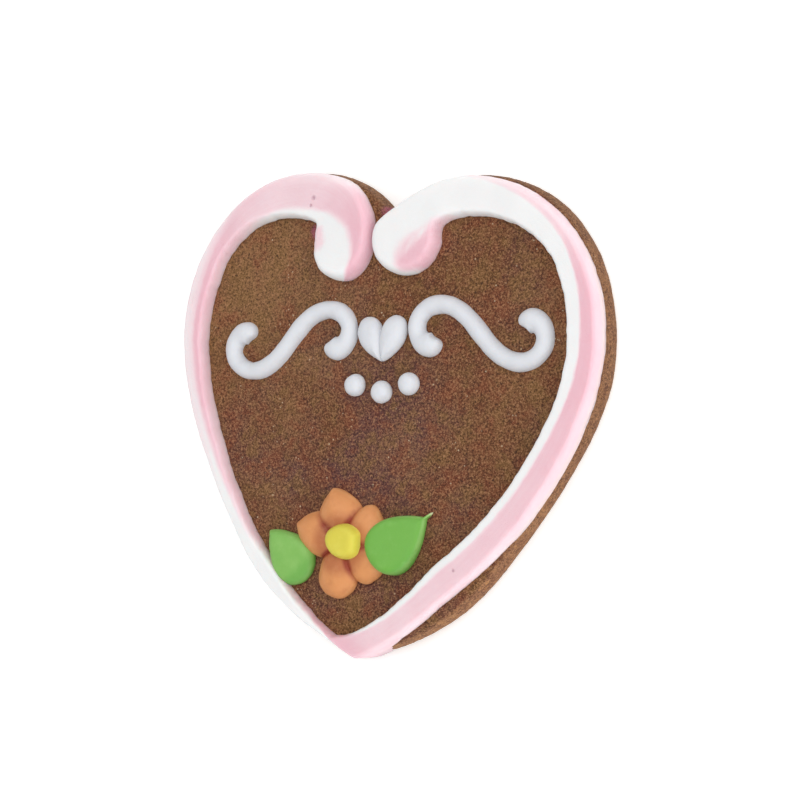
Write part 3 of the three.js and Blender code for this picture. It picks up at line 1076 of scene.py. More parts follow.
@dataclass(frozen=True)
class BorderFinish:
    """Royal icing of two colours from one bag: soft pink and white streaks along the stroke."""

    white: Rgb = srgb(234, 234, 234)
    pale: Rgb = srgb(236, 214, 219)
    pink: Rgb = srgb(228, 184, 195)
    foot: Rgb = srgb(222, 206, 190)
    pit_shade: Rgb = srgb(176, 128, 146)
    streaks: Cloud = Cloud(0.9, 3.0, 0.6, 1.0)
    streak_stretch: Triple = (0.07, 1.0, 1.0)
    streak_swing: float = 0.26
    streak_depth: float = 0.06
    clouds: Cloud = Cloud(4.0, 2.0, 0.5, 2.0)
    cloud_swing: float = 0.16
    grain: Cloud = Cloud(0.32, 2.0, 0.6, 3.0)
    grain_depth: float = 0.1
    turning_pale: Cover = Cover(0.02, 0.6)
    turning_pink: Cover = Cover(0.42, 1.05)
    foot_tint_and_shade: float = 0.3
    pits: tuple[Spot, ...] = ((-21.0, 51.7, 0.9), (-21.6, 49.8, 0.6), (27.7, -35.2, 0.55))
    pit_shade_strength: float = 0.6
    pit_depth: float = 3.0
    roughness: float = 0.55
    roughness_swing: float = 0.2
    glow: float = 0.8
    glow_reach: float = 2.2

    def material(self) -> Material:
        """Makes the material.

        Returns:
            The material, with its tree complete.
        """
        s = Shader("two_coloured_icing")
        stroke = s.stretched(s.mark("stroke", "Vector"), self.streak_stretch)
        streak = s.cloud(self.streaks, stroke)
        cloud = s.cloud(self.clouds)
        grain = s.cloud(self.grain)
        pink = s.mark("pink") + streak.swing(self.streak_swing) + cloud.swing(self.cloud_swing)
        pink = pink.held()
        colour = s.mix(pink.cover(self.turning_pale), self.white, self.pale)
        colour = s.mix(pink.cover(self.turning_pink), colour, self.pink)
        # At its foot the icing is mixed towards a darker cream: partly the thin edge's own tint
        # over the dough, partly painted contact shade.
        colour = s.mix(s.mark("foot") * self.foot_tint_and_shade, colour, self.foot)
        # Painted shade: the icing is darker in the small dents that the pits press in.
        pits = s.near(*self.pits[0])
        for spot in self.pits[1:]:
            pits = pits.most(s.near(*spot))
        normal = s.bump(streak, self.streak_depth)
        inputs = {
            "Base Color": s.mix(pits * self.pit_shade_strength, colour, self.pit_shade),
            "Roughness": self.roughness + grain.swing(self.roughness_swing),
            "Normal": s.bump(grain - pits * self.pit_depth, self.grain_depth, normal),
            "Subsurface Weight": self.glow,
            "Subsurface Scale": self.glow_reach * MM,
            "Subsurface Radius": (1.0, 0.85, 0.8),
            "Specular IOR Level": 0.35,
        }
        return s.finish(inputs)


@dataclass(frozen=True)
class IcingFinish:
    """Icing of one colour, lighter on its rounded rim by a painted highlight and deeper in its
    hollows by painted shade.
    """

    name: str
    body: Rgb
    shade_and_deep_tone: Rgb
    rim: Rgb
    tip: Rgb = srgb(206, 204, 164)
    roughness: float = 0.5
    roughness_swing: float = 0.16
    cloudy: float = 0.12
    paler: Pair = (0.5, 0.75)
    deeper: Pair = (0.5, 0.25)
    clouds: Cloud = Cloud(3.2, 3.0, 0.6, 1.0)
    grain: Cloud = Cloud(0.34, 2.0, 0.65, 2.0)
    rim_highlight_least: float = 0.3
    rim_highlight_swing: float = 0.4
    depth: float = 0.05
    glow: float = 0.15
    glow_reach: float = 1.0

    def material(self) -> Material:
        """Makes the material.

        Returns:
            The material, with its tree complete.
        """
        s = Shader(self.name)
        cloud = s.cloud(self.clouds)
        grain = s.cloud(self.grain)
        # Painted shade wherever the mesh marks it: the petals' creases and the leaves' shaded side.
        colour = s.mix(s.mark("shade_and_deep_tone"), self.body, self.shade_and_deep_tone)
        # Painted highlight on the rounded rim.
        rim = s.mark("rim") * (self.rim_highlight_least + cloud * self.rim_highlight_swing)
        colour = s.mix(rim, colour, self.rim)
        # Random clouds of paler and deeper tone reuse the highlight and shade colours.
        colour = s.mix(cloud.cover(Cover(*self.paler, self.cloudy)), colour, self.rim)
        colour = s.mix(cloud.cover(Cover(*self.deeper, self.cloudy)), colour, self.shade_and_deep_tone)
        inputs = {
            "Base Color": s.mix(s.mark("tip"), colour, self.tip),
            "Roughness": self.roughness + grain.swing(self.roughness_swing),
            "Normal": s.bump(grain + cloud, self.depth),
            "Subsurface Weight": self.glow,
            "Subsurface Scale": self.glow_reach * MM,
            "Subsurface Radius": (1.0, 0.7, 0.5),
            "Specular IOR Level": 0.4,
        }
        return s.finish(inputs)


WHITE_ICING = IcingFinish(
    name="grey_white_icing",
    body=srgb(212, 214, 219),
    shade_and_deep_tone=srgb(186, 188, 196),
    rim=srgb(226, 227, 229),
)
ORANGE_ICING = IcingFinish(
    name="orange_icing",
    body=srgb(212, 143, 88),
    shade_and_deep_tone=srgb(146, 58, 32),
    rim=srgb(234, 178, 126),
    cloudy=0.18,
)
YELLOW_ICING = IcingFinish(
    name="yellow_icing",
    body=srgb(212, 200, 72),
    shade_and_deep_tone=srgb(196, 176, 44),
    rim=srgb(238, 228, 112),
)
GREEN_ICING = IcingFinish(
    name="green_icing",
    body=srgb(108, 170, 66),
    shade_and_deep_tone=srgb(84, 154, 60),
    rim=srgb(164, 208, 126),
    roughness=0.45,
)


# ---- Dough slab ------------------------------------------------------------------------------


@dataclass
class Slab:
    """The gingerbread itself: a heart-shaped slab with a round bottom edge and shoulder.

    The left half's bends are written as on the right. rim_gap is how far the points inside a flat
    face keep from its rim, in steps of their spacing. crumb_density counts crumbs to the square
    metre. They keep crumb_gap from where the slab is widest and longest.
    """

    DOUGH_SEED: ClassVar[int] = 3
    CRUMB_SEED: ClassVar[int] = 11

    workshop: Workshop
    thickness: float = 7.8
    bottom_edge: float = 0.7
    shoulder: float = 2.2
    bulge: float = 0.25
    left: tuple[Bend, ...] = (
        Bend(0, -59.1, 16, after=13.7),
        Bend(35.1, -36.5, 53.7, before=14.3, after=16),
        Bend(60, 15.9, 90, before=15.8, after=25),
        Bend(23.4, 59.1, 180, before=19.5, after=12),
        Bend(0, 47.4, 236, before=6),
    )
    right: tuple[Bend, ...] = (
        Bend(0, -59.1, 11, after=14),
        Bend(35.1, -36.5, 53.7, before=14.3, after=16),
        Bend(60, 15.9, 90, before=15.8, after=25.8),
        Bend(23.4, 59.1, 180, before=20.9, after=12),
        Bend(0, 47.4, 236, before=6),
    )
    steps: tuple[int, ...] = (64, 92, 88, 48)
    bottom_rings: int = 4
    wall_rings: int = 10
    shoulder_rings: int = 8
    top_spacing: float = 0.72
    underside_spacing: float = 1.5
    rim_gap: float = 0.7
    weld: float = 0.001
    relief: Relief = Relief(0.12, 6.0, 0.1, 1.7, side=1.3, floor=0.4)
    crumb_density: float = 90000.0
    crumb_sizes: Pair = (0.12, 0.34)
    crumb_gap: float = 0.3
    crumb_lowest: float = 1.0
    finish: DoughFinish = field(default_factory=DoughFinish)

    def _half(self, bends: Sequence[Bend]) -> np.ndarray:
        """One half of the outline.

        Args:
            bends: Its bends from the tip up to the cleft.

        Returns:
            (x, y) rows as on the right, without the last.
        """
        runs = []
        for a, b, steps in zip(bends[:-1], bends[1:], self.steps):
            runs.append(curve_points((a, b), np.arange(steps) / steps))
        return np.vstack(runs)

    def outline(self) -> np.ndarray:
        """Returns the heart's closed outline, counterclockwise from the tip."""
        left = self._half(self.left)[:0:-1] * (-1, 1)
        return np.vstack([self._half(self.right), self.right[-1].point()[None], left])

    def profile(self) -> list[Pair]:
        """The section of the edge.

        Returns:
            (inset, height) pairs from the underside up to the flat top.
        """
        rows = []
        for turn in np.linspace(0.0, math.pi / 2, self.bottom_rings + 1):
            inset = self.bulge + self.bottom_edge * (1 - math.sin(turn))
            rows.append((inset, self.bottom_edge * (1 - math.cos(turn))))
        low, high = self.bottom_edge, self.thickness - self.shoulder
        for k in range(1, self.wall_rings):
            share = k / self.wall_rings
            rows.append((self.bulge * (1 - math.sin(math.pi * share)), low + (high - low) * share))
        for turn in np.linspace(0.0, math.pi / 2, self.shoulder_rings + 1):
            inset = self.bulge + (self.shoulder - self.bulge) * (1 - math.cos(turn))
            rows.append((inset, self.thickness - self.shoulder * (1 - math.sin(turn))))
        return rows

    @staticmethod
    def _fill(
        rim: np.ndarray, clear: np.ndarray, height: float, spacing: float
    ) -> tuple[np.ndarray, Skin]:
        """Triangles over a flat outline, with points spread evenly inside it.

        Args:
            rim: The outline.
            clear: A slightly smaller outline, which the inner points stay within.
            height: The face's height.
            spacing: The distance between inner points.

        Returns:
            The vertices and the faces.
        """
        low, high = rim.min(0), rim.max(0)
        row = spacing * math.sqrt(3) / 2
        ys = np.arange(low[1], high[1], row)
        xs = np.arange(low[0], high[0], spacing)
        grid = np.array([(x + spacing / 2 * (i % 2), y) for i, y in enumerate(ys) for x in xs])
        inner = grid[inside(grid, clear)]
        flat = [Vector(p) for p in np.vstack([rim, inner]).tolist()]
        rim_face = [list(range(len(rim)))]
        inside_only, same_place = 1, 1e-7
        vertices, _, faces, *_ = delaunay_2d_cdt(flat, [], rim_face, inside_only, same_place)
        return np.array([(v.x, v.y, height) for v in vertices]), faces

    def build(self) -> None:
        """Makes the slab, its relief and its crumbs, and hands them over."""
        outline = self.outline()
        profile = self.profile()
        flat_rings = [inset_outline(outline, inset) for inset, _ in profile]
        rings = [
            np.column_stack([ring, np.full(len(ring), height)])
            for ring, (_, height) in zip(flat_rings, profile)
        ]
        parts = [(np.vstack(rings), ring_faces(len(rings), len(outline)), {})]
        for end, spacing in ((0, self.underside_spacing), (-1, self.top_spacing)):
            inset, height = profile[end]
            clear = inset_outline(outline, inset + spacing * self.rim_gap)
            parts.append((*self._fill(flat_rings[end], clear, height, spacing), {}))
        slab = mesh_object("dough_slab", *joined(parts), merge=self.weld)
        material = self.finish.material()
        self.workshop.roughen(slab, material, self.relief, self.DOUGH_SEED)
        self.workshop.place(slab, Slot.DOUGH, "gingerbread")

        crumbs = link_object("dough_crumbs", slab.data.copy())
        self._keep_inner_faces(crumbs)
        smallest, largest = self.crumb_sizes
        self.workshop.crumbs.apply(
            crumbs,
            material,
            Density=self.crumb_density,
            Smallest=smallest * MM,
            Largest=largest * MM,
            Seed=self.CRUMB_SEED,
        )
        self.workshop.place(crumbs, Slot.DOUGH)

    def _keep_inner_faces(self, copy: Piece) -> None:
        """Drops the faces where a crumb would pass the slab's own width, length or underside.

        Args:
            copy: A copy of the slab.
        """
        half_width = max(bend.x for bend in self.right) - self.crumb_gap
        top = max(bend.y for bend in self.right) - self.crumb_gap
        low = min(bend.y for bend in self.right) + self.crumb_gap
        shell = bmesh.new()
        shell.from_mesh(copy.data)
        gone = []
        for face in shell.faces:
            x, y, z = face.calc_center_median() / MM
            if abs(x) > half_width or not low <= y <= top or z < self.crumb_lowest:
                gone.append(face)
        bmesh.ops.delete(shell, geom=gone, context="FACES")
        shell.to_mesh(copy.data)
        shell.free()


# ---- Icing border ----------------------------------------------------------------------------


@dataclass(frozen=True)
class Rail:
    """One edge of the piped border on one half, from the tip over the crown into its hook."""

    tip: Bend
    flank: Bend
    side: Bend
    crown: Bend
    hook: tuple[Bend, ...]

    def points(self, stations: np.ndarray, crowding: float) -> np.ndarray:
        """Points on the rail.

        Args:
            stations: From 0 at the tip by 1 at the flank, 2 at the side and 3 at the crown to
                4 at the end of the hook.
            crowding: How much the points crowd together where the head closes.

        Returns:
            One (x, y) row for each station.
        """
        stretches = (
            (self.tip, self.flank),
            (self.flank, self.side),
            (self.side, self.crown),
            (self.crown, *self.hook),
        )
        found = np.zeros((len(stations), 2))
        number = np.minimum(stations.astype(int), len(stretches) - 1)
        for k, bends in enumerate(stretches):
            chosen = number == k
            share = stations[chosen] - k
            if k == len(stretches) - 1:
                share = 1 - (1 - share) ** crowding
            found[chosen] = curve_points(bends, share)
        return found


@dataclass(frozen=True)
class PinkBand:
    """A stretch of pink in the border.

    Each knot is (station, first edge, last edge, strength): the station counts as on a Rail,
    and the edges go from 0 at the outer rail to 1 at the inner one. The first and the last knot
    hold beyond them. softness is how far the first and the last edge fade, each way.
    """

    knots: tuple[tuple[float, float, float, float], ...]
    softness: Pair = (0.1, 0.1)

    def strength(self, station: np.ndarray, across: np.ndarray) -> np.ndarray:
        """How pink the band makes the icing.

        Args:
            station: Where along the rails.
            across: Where from the outer rail, 0, to the inner, 1.

        Returns:
            Its strength at each place.
        """
        at, first, last, full = np.array(self.knots).T
        start, stop = np.interp(station, at, first), np.interp(station, at, last)
        rising = smooth_step(across, start - self.softness[0], start + self.softness[0])
        falling = 1 - smooth_step(across, stop - self.softness[1], stop + self.softness[1])
        return rising * falling * np.interp(station, at, full)


@dataclass(frozen=True)
class HalfBorder:
    """One half of the border: its two rails, written for the right, and its pink bands.

    run gives the stations between which the icing that ran over the edge at the tip thins out.
    """

    hand: Hand
    outer: Rail
    inner: Rail
    bands: tuple[PinkBand, ...]
    wobble_seed: int
    run: Pair


RIGHT_BORDER = HalfBorder(
    hand=Hand.RIGHT,
    outer=Rail(
        tip=Bend(1.9, -59.4, 13, after=10),
        flank=Bend(31.7, -37.05, 42, before=13.8, after=18.2),
        side=Bend(59.55, 17.6, 90, before=18.8, after=25),
        crown=Bend(22.1, 58.3, 180, before=19.8, after=8.8),
        hook=(
            Bend(1.3, 49.9, 216, before=5, after=4),
            Bend(-4.0, 42, 272, before=4.5, after=4.6),
            Bend(5.2, 33.7, 360, before=5),
        ),
    ),
    inner=Rail(
        tip=Bend(-4.6, -54.4, 5, after=12),
        flank=Bend(24.7, -31.6, 40.4, before=7.6, after=16.9),
        side=Bend(51.15, 16.8, 90, before=14.9, after=22.3),
        crown=Bend(22.9, 48.5, 180, before=17.0, after=4.4),
        hook=(Bend(14.6, 44.3, 279, before=2.6, after=5.6), Bend(5.2, 33.7, 180, before=6)),
    ),
    bands=(
        PinkBand(
            knots=(
                (0.0, -0.3, 1.3, 0.95), (0.1, -0.3, 1.0, 0.85), (0.2, -0.2, 0.86, 0.7),
                (0.4, 0.0, 0.76, 0.64), (1.0, 0.01, 0.71, 0.7), (1.3, 0.01, 0.69, 0.76),
                (1.6, 0.01, 0.66, 0.82), (1.8, 0.02, 0.6, 0.93), (2.0, 0.02, 0.54, 1.0),
                (2.2, 0.03, 0.48, 1.0), (2.35, 0.03, 0.42, 0.88), (2.5, 0.0, 0.35, 0.66),
                (2.8, -0.1, 0.24, 0.5), (3.0, -0.1, 0.1, 0.35), (3.1, -0.3, -0.1, 0.0),
            ),
            softness=(0.08, 0.06),
        ),
        PinkBand(
            knots=(
                (0.0, -0.3, -0.2, 0.0), (0.2, -0.3, 0.0, 0.3), (0.5, -0.3, 0.0, 0.6),
                (2.0, -0.3, 0.02, 0.66), (2.4, -0.3, 0.02, 0.62), (2.7, -0.3, 0.0, 0.4),
                (2.8, -0.3, -0.2, 0.0),
            ),
            softness=(0.06, 0.06),
        ),
        PinkBand(
            knots=(
                (3.0, 1.0, 1.3, 0.0), (3.1, 0.96, 1.3, 0.35), (3.2, 0.89, 1.3, 0.7),
                (3.3, 0.76, 1.3, 0.85), (3.4, 0.63, 1.3, 0.9), (3.5, 0.57, 1.3, 0.95),
                (3.6, 0.54, 1.1, 0.95), (3.68, 0.56, 0.98, 0.85), (3.76, 0.6, 0.9, 0.4),
                (3.82, 0.6, 0.8, 0.0),
            ),
            softness=(0.15, 0.15),
        ),
        PinkBand(
            knots=(
                (3.25, 0.8, 0.84, 0.0), (3.36, 0.7, 0.77, -0.45), (3.5, 0.64, 0.71, -0.4),
                (3.62, 0.6, 0.66, 0.0),
            ),
            softness=(0.04, 0.04),
        ),
    ),
    wobble_seed=5,
    run=(0.11, 0.4),
)

LEFT_BORDER = HalfBorder(
    hand=Hand.LEFT,
    outer=Rail(
        tip=Bend(-1.7, -59.4, 24, after=12),
        flank=Bend(32.9, -36.7, 52.6, before=16.8, after=16),
        side=Bend(58.0, 18.6, 90, before=19, after=23.4),
        crown=Bend(23, 58.4, 180, before=18.4, after=12.9),
        hook=(Bend(4.1, 42.5, 268, before=9, after=5.3), Bend(12.3, 31.6, 360, before=5.5)),
    ),
    inner=Rail(
        tip=Bend(4.6, -54.4, 24, after=8.6),
        flank=Bend(30.9, -31.6, 50.8, before=11.5, after=12.7),
        side=Bend(51.5, 16.9, 90, before=14.4, after=18.9),
        crown=Bend(29.1, 46.8, 180, before=13.7, after=5.5),
        hook=(
            Bend(20.4, 44.6, 284, before=1.4, after=2),
            Bend(20.5, 40.0, 272, before=1.6, after=5.6),
            Bend(12.3, 31.6, 180, before=4.6),
        ),
    ),
    bands=(
        PinkBand(
            knots=(
                (0.0, -0.3, 1.3, 0.95), (0.06, 0.1, 1.3, 0.9), (0.16, 0.7, 1.5, 1.0),
                (0.35, 0.9, 1.5, 1.05), (0.8, 0.96, 1.5, 1.0), (1.1, 0.74, 1.4, 0.82),
                (1.45, 0.6, 1.4, 0.88), (1.8, 0.54, 1.4, 0.98), (2.2, 0.52, 1.4, 1.0),
                (2.45, 0.38, 1.25, 0.92), (2.6, 0.24, 1.1, 0.78), (2.8, 0.14, 0.95, 0.64),
                (3.0, 0.13, 0.84, 0.62), (3.1, 0.1, 0.8, 0.64), (3.2, 0.0, 0.73, 0.72),
                (3.3, -0.2, 0.53, 0.85), (3.4, -0.2, 0.36, 0.95), (3.5, -0.2, 0.28, 1.1),
                (3.6, -0.2, 0.25, 1.2), (3.7, -0.2, 0.3, 1.1), (4.0, -0.2, 0.3, 0.8),
            ),
            softness=(0.22, 0.1),
        ),
        PinkBand(
            knots=(
                (0.0, -0.3, -0.2, 0.0), (1.0, -0.3, 0.1, 0.05), (1.25, -0.3, 0.3, 0.14),
                (1.45, -0.3, 0.46, 0.32), (2.2, -0.3, 0.46, 0.4), (2.6, -0.3, 0.3, 0.4),
                (3.1, -0.3, 0.1, 0.3), (3.3, -0.3, -0.2, 0.0),
            ),
            softness=(0.1, 0.14),
        ),
        # Painted light: this band's negative strength makes the left ribbon's shaded inner slope
        # paler.
        PinkBand(
            knots=(
                (0.0, 0.8, 1.4, 0.0), (0.2, 0.8, 1.4, -0.1), (1.2, 0.8, 1.4, -0.15),
                (1.5, 0.9, 1.4, -0.26), (2.4, 0.9, 1.4, -0.26), (2.8, 0.95, 1.4, 0.0),
            ),
        ),
        PinkBand(
            knots=(
                (3.26, 0.9, 1.3, 0.0), (3.3, 0.78, 1.3, 0.6), (3.42, 0.74, 0.96, 0.55),
                (3.5, 0.78, 0.92, 0.0),
            ),
            softness=(0.07, 0.07),
        ),
    ),
    wobble_seed=9,
    run=(0.04, 0.2),
)


@dataclass
class Border:
    """The piped border: one ribbon from the left head round the tip to the right head.

    heights and roundings go from the tip to the head, and tucks and wobbles from the outer to the
    inner rail. A rail's wobble grows over the first of the fades from the tip. It is whole again
    further than the last from the end of the head, and nothing nearer than the middle one.
    most_tuck is the largest part of the width that a foot is tucked under by.
    """

    SEED: ClassVar[int] = 8

    workshop: Workshop
    base: float
    halves: tuple[HalfBorder, HalfBorder] = (LEFT_BORDER, RIGHT_BORDER)
    steps: tuple[int, ...] = (86, 100, 104, 170)
    columns: int = 26
    crowding: float = 1.5
    heights: Pair = (2.9, 4.4)
    roundings: Pair = (1.15, 3.5)
    rounding_growth: float = 4.5
    dome: float = 2.3
    skirt: float = 1.6
    run_depth: float = 6.9
    tucks: Pair = (0.05, 0.2)
    most_tuck: float = 0.2
    wobbles: Pair = (0.1, 0.26)
    fades: Triple = (5.0, 0.5, 8.0)
    swell: Wobble = Wobble(0.05, (31.0, 19.0, 11.0))
    foot_height: float = 0.9
    relief: Relief = Relief(0.12, 7.0, 0.03, 1.1)
    finish: BorderFinish = field(default_factory=BorderFinish)

    def _stations(self) -> np.ndarray:
        """Returns the ribbon's stations from the tip to the end of a head."""
        runs = [k + np.arange(steps) / steps for k, steps in enumerate(self.steps)]
        return np.concatenate(runs)

    def _rails(self, half: HalfBorder, stations: np.ndarray) -> list[np.ndarray]:
        """Both rails of a half, mirrored to their side and made slightly uneven.

        Args:
            half: The half.
            stations: Where on it.

        Returns:
            The outer and the inner rail's points.
        """
        rails = []
        grown, still, free = self.fades
        for k, rail in enumerate((half.outer, half.inner)):
            line = rail.points(stations, self.crowding)
            step = np.gradient(line, axis=0)
            gone = np.cumsum(np.linalg.norm(np.diff(line, axis=0), axis=1))
            length = np.concatenate([[0.0], gone])
            side = np.stack([-step[:, 1], step[:, 0]], axis=1)
            side /= np.linalg.norm(step, axis=1, keepdims=True)
            fade = smooth_step(length, 0.0, grown) * smooth_step(length[-1] - length, still, free)
            moved = Wobble(self.wobbles[k], seed=half.wobble_seed + k).along(length) * fade
            rails.append((line + side * moved[:, None]) * (half.hand.value, 1))
        return rails

    def _ribbon(self, half: HalfBorder, other: HalfBorder) -> tuple[np.ndarray, Marks]:
        """One half of the ribbon.

        Args:
            half: The half.
            other: The half across the tip, which the dome there leans on.

        Returns:
            Its rings of points from the tip to the head, and what each point keeps.
        """
        stations = self._stations()
        outer, inner = self._rails(half, stations)
        near_tip = [rail[stations < 1] for rail in self._rails(other, stations)]
        across = (1 - np.cos(math.pi * np.arange(self.columns + 1) / self.columns)) / 2
        flat = outer[:, None] + (inner - outer)[:, None] * across[None, :, None]
        lines = [outer, inner, *near_tip]
        away = distance_to_lines(flat.reshape(-1, 2), lines).reshape(flat.shape[:2])

        along = np.arange(len(stations)) / (len(stations) - 1)
        length = np.cumsum(np.linalg.norm(np.gradient((outer + inner) / 2, axis=0), axis=1))
        swell = 1 + replace(self.swell, seed=half.wobble_seed).along(length)
        full = np.interp(along, (0, 1), self.heights) * swell
        rounding = np.interp(along**self.rounding_growth, (0, 1), self.roundings)
        depth = np.minimum(1.0, away / rounding[:, None])
        height = full[:, None] * np.sqrt(1 - (1 - depth) ** self.dome)

        width = np.linalg.norm(inner - outer, axis=1)
        inward = (inner - outer) / np.maximum(width, TINY)[:, None]
        run = 1 - smooth_step(stations, *half.run)[:, None]
        tucks = [np.minimum(tuck, width * self.most_tuck)[:, None] for tuck in self.tucks]
        feet = [outer + inward * tucks[0] * (1 - run), inner - inward * tucks[1]]
        depths = -self.skirt - (self.run_depth - self.skirt) * run
        top = np.concatenate([flat, height[:, :, None]], axis=2)
        first = np.concatenate([feet[0], depths], axis=1)[:, None]
        last = np.concatenate([feet[1], np.full_like(depths, -self.skirt)], axis=1)[:, None]
        rings = np.concatenate([first, top, last], axis=1)
        rings[:, :, 2] += self.base

        place = np.concatenate([[0.0], across, [1.0]])
        station = np.broadcast_to(stations[:, None], rings.shape[:2])
        spread = np.broadcast_to(place[None], rings.shape[:2])
        pink = sum(band.strength(station, spread) for band in half.bands)
        stroke = np.stack([
            np.broadcast_to((length * half.hand.value)[:, None], rings.shape[:2]),
            spread * width[:, None],
            np.zeros(rings.shape[:2]),
        ], axis=2)
        # The foot mark covers the lowest icing where it meets the dough, which the finish tints and
        # darkens with painted contact shade.
        low = 1 - smooth_step(height, 0.0, self.foot_height)
        low = np.pad(low, ((0, 0), (1, 1)), constant_values=1.0) * (1 - run)
        return rings, {"pink": np.clip(pink, 0, 1), "stroke": stroke, "foot": low}

    def build(self) -> None:
        """Makes the ribbon and hands it over."""
        left, left_marks = self._ribbon(self.halves[0], self.halves[1])
        right, right_marks = self._ribbon(self.halves[1], self.halves[0])
        rings = np.concatenate([left[::-1], right[1:]])
        vertices, faces = closed_rings(rings)
        marks = {}
        for name, values in left_marks.items():
            both = np.concatenate([values[::-1], right_marks[name][1:]])
            ends = np.stack([both[0].mean(0), both[-1].mean(0)])
            marks[name] = np.concatenate([both.reshape(-1, *both.shape[2:]), ends])
        ribbon = mesh_object("piped_border", vertices, faces, marks)
        self.workshop.roughen(ribbon, self.finish.material(), self.relief, self.SEED)
        self.workshop.place(ribbon, Slot.PINK, "icing_border")


# ---- Drops -----------------------------------------------------------------------------------


@dataclass(frozen=True)
class Drop:
    """A piped drop with its tip towards its heading: a petal, a leaf or a dot.

    sharpness 0 is an ellipse and 1 a pointed drop, and square above 2 gives it blunt corners.
    fullness sets how flat the top is, lean how much lower the tip stands than the middle, crest
    how strong a ridge runs to the tip, and tail how far a thin end is drawn out. cut is how far
    from the middle the side with the tip is cut straight. The constants hold for every drop.
    """

    CUT_ROUNDING: ClassVar[float] = 0.3
    WOBBLE_LENGTHS: ClassVar[tuple[float, ...]] = (0.5, 0.34, 0.21)
    WOBBLE_FROM_TIP: ClassVar[Pair] = (0.1, 0.6)
    TAIL_NARROWING: ClassVar[float] = 1.6
    TAIL_BLUNTNESS: ClassVar[float] = 6
    TAIL_TIP: ClassVar[Pair] = (0.3, 0.8)
    FOOT_SIZES: ClassVar[Pair] = (0.93, 0.985)
    CREST_WIDTH: ClassVar[float] = 1.3
    # These three set where the painted highlight lies on the rounded rim and how much of it the
    # very foot loses.
    RIM_HIGHLIGHT: ClassVar[Pair] = (0.88, 0.96)
    RIM_HIGHLIGHT_FOOT: ClassVar[Pair] = (0.98, 1.0)
    RIM_HIGHLIGHT_FOOT_LOSS: ClassVar[float] = 0.7

    length: float
    width: float
    height: float
    sharpness: float = 0.0
    fullness: float = 2.4
    lean: float = 0.0
    crest: float = 0.0
    tail: float = 0.0
    tail_half: float = 0.38
    tail_start: float = 22.0
    tail_taper: float = 12.0
    square: float = 2.0
    cut: float = 9.0
    wobble: float = 0.03
    around: int = 96
    rings: int = 22
    sink: float = 0.5
    lip: float = 0.25

    def outline(self, seed: int) -> tuple[np.ndarray, np.ndarray]:
        """The drop's outline.

        Args:
            seed: Draws its unevenness.

        Returns:
            (x, y) rows without the tail, and how far the tail moves each of them.
        """
        turn = math.tau * np.arange(self.around) / self.around
        round_parts = (np.cos(turn), np.sin(turn))
        along, aside = (np.sign(v) * np.abs(v) ** (2 / self.square) for v in round_parts)
        power = self.sharpness + 1
        widest = 2 * (power / (power + 1)) ** (power / 2) / math.sqrt(power + 1)
        y = self.width / 2 * aside * np.sin(turn / 2) ** self.sharpness / widest
        x = self.length / 2 * along
        soft = self.CUT_ROUNDING
        x = -soft * np.logaddexp(-x / soft, -self.cut / soft)
        from_tip = np.minimum(turn, math.tau - turn)
        uneven = Wobble(self.wobble, self.WOBBLE_LENGTHS, seed).along(turn / math.tau)
        uneven = 1 + uneven * smooth_step(from_tip, *self.WOBBLE_FROM_TIP)
        drawn = np.clip(1 - from_tip / math.radians(self.tail_start), 0.0, 1.0)
        drawn **= self.TAIL_NARROWING
        thin = self.tail_half * np.sqrt(1 - drawn**self.TAIL_BLUNTNESS)
        slim = np.where(drawn > 0, thin, 0.0) if self.tail else 0.0
        wider = np.sign(np.sin(turn)) * np.maximum(slim - np.abs(y), 0.0)
        rows = np.stack([x * uneven, y * uneven], axis=1)
        return rows, np.stack([self.tail * drawn, wider], axis=1)

    def mesh(self, heading: float, at: Sequence[float], base: float, seed: int) -> MeshParts:
        """The drop in its place.

        Args:
            heading: The way its tip points, in degrees.
            at: Its middle.
            base: The height that it stands on.
            seed: Draws its unevenness.

        Returns:
            The vertices, the faces and what each vertex keeps.
        """
        outline, drawn = self.outline(seed)
        rings, rims = [], []
        for size, low in zip(self.FOOT_SIZES, (-self.sink, 0.0)):
            flat = outline * size + drawn * size**self.tail_taper
            rings.append(np.column_stack([flat, np.full(self.around, low)]))
            rims.append(np.ones(self.around))
        for size in 1 - (np.arange(self.rings) / self.rings) ** 2:
            flat = outline * size + drawn * size**self.tail_taper
            side = np.abs(flat[:, 1]) / (self.width / 2)
            crest = 1 - self.crest * side**self.CREST_WIDTH * size
            slope = 1 + self.lean * flat[:, 0] / (self.length / 2)
            dome = math.sqrt(1 - size**self.fullness) * crest * slope
            height = self.lip * slope + (self.height - self.lip) * dome
            rings.append(np.column_stack([flat, height]))
            rims.append(np.full(self.around, size))
        vertices, faces = closed_rings(np.stack(rings))
        vertices[-1, 2] = max(vertices[-1, 2], self.height)
        placed = turned(vertices[:, :2], heading) + np.asarray(at)
        placed = np.column_stack([placed, vertices[:, 2] + base])

        # The rim mark is a painted highlight on the rounded rim, weaker at the very foot, and the
        # shade mark starts empty.
        rim = np.concatenate([np.concatenate(rims), [1.0, 0.0]])
        edge = smooth_step(rim, *self.RIM_HIGHLIGHT)
        edge *= 1 - self.RIM_HIGHLIGHT_FOOT_LOSS * smooth_step(rim, *self.RIM_HIGHLIGHT_FOOT)
        start, stop = (self.length / 2 + share * self.tail for share in self.TAIL_TIP)
        tip = smooth_step(vertices[:, 0], start, stop) if self.tail else np.zeros(len(placed))
        return placed, faces, {"rim": edge, "shade_and_deep_tone": np.zeros(len(placed)), "tip": tip}


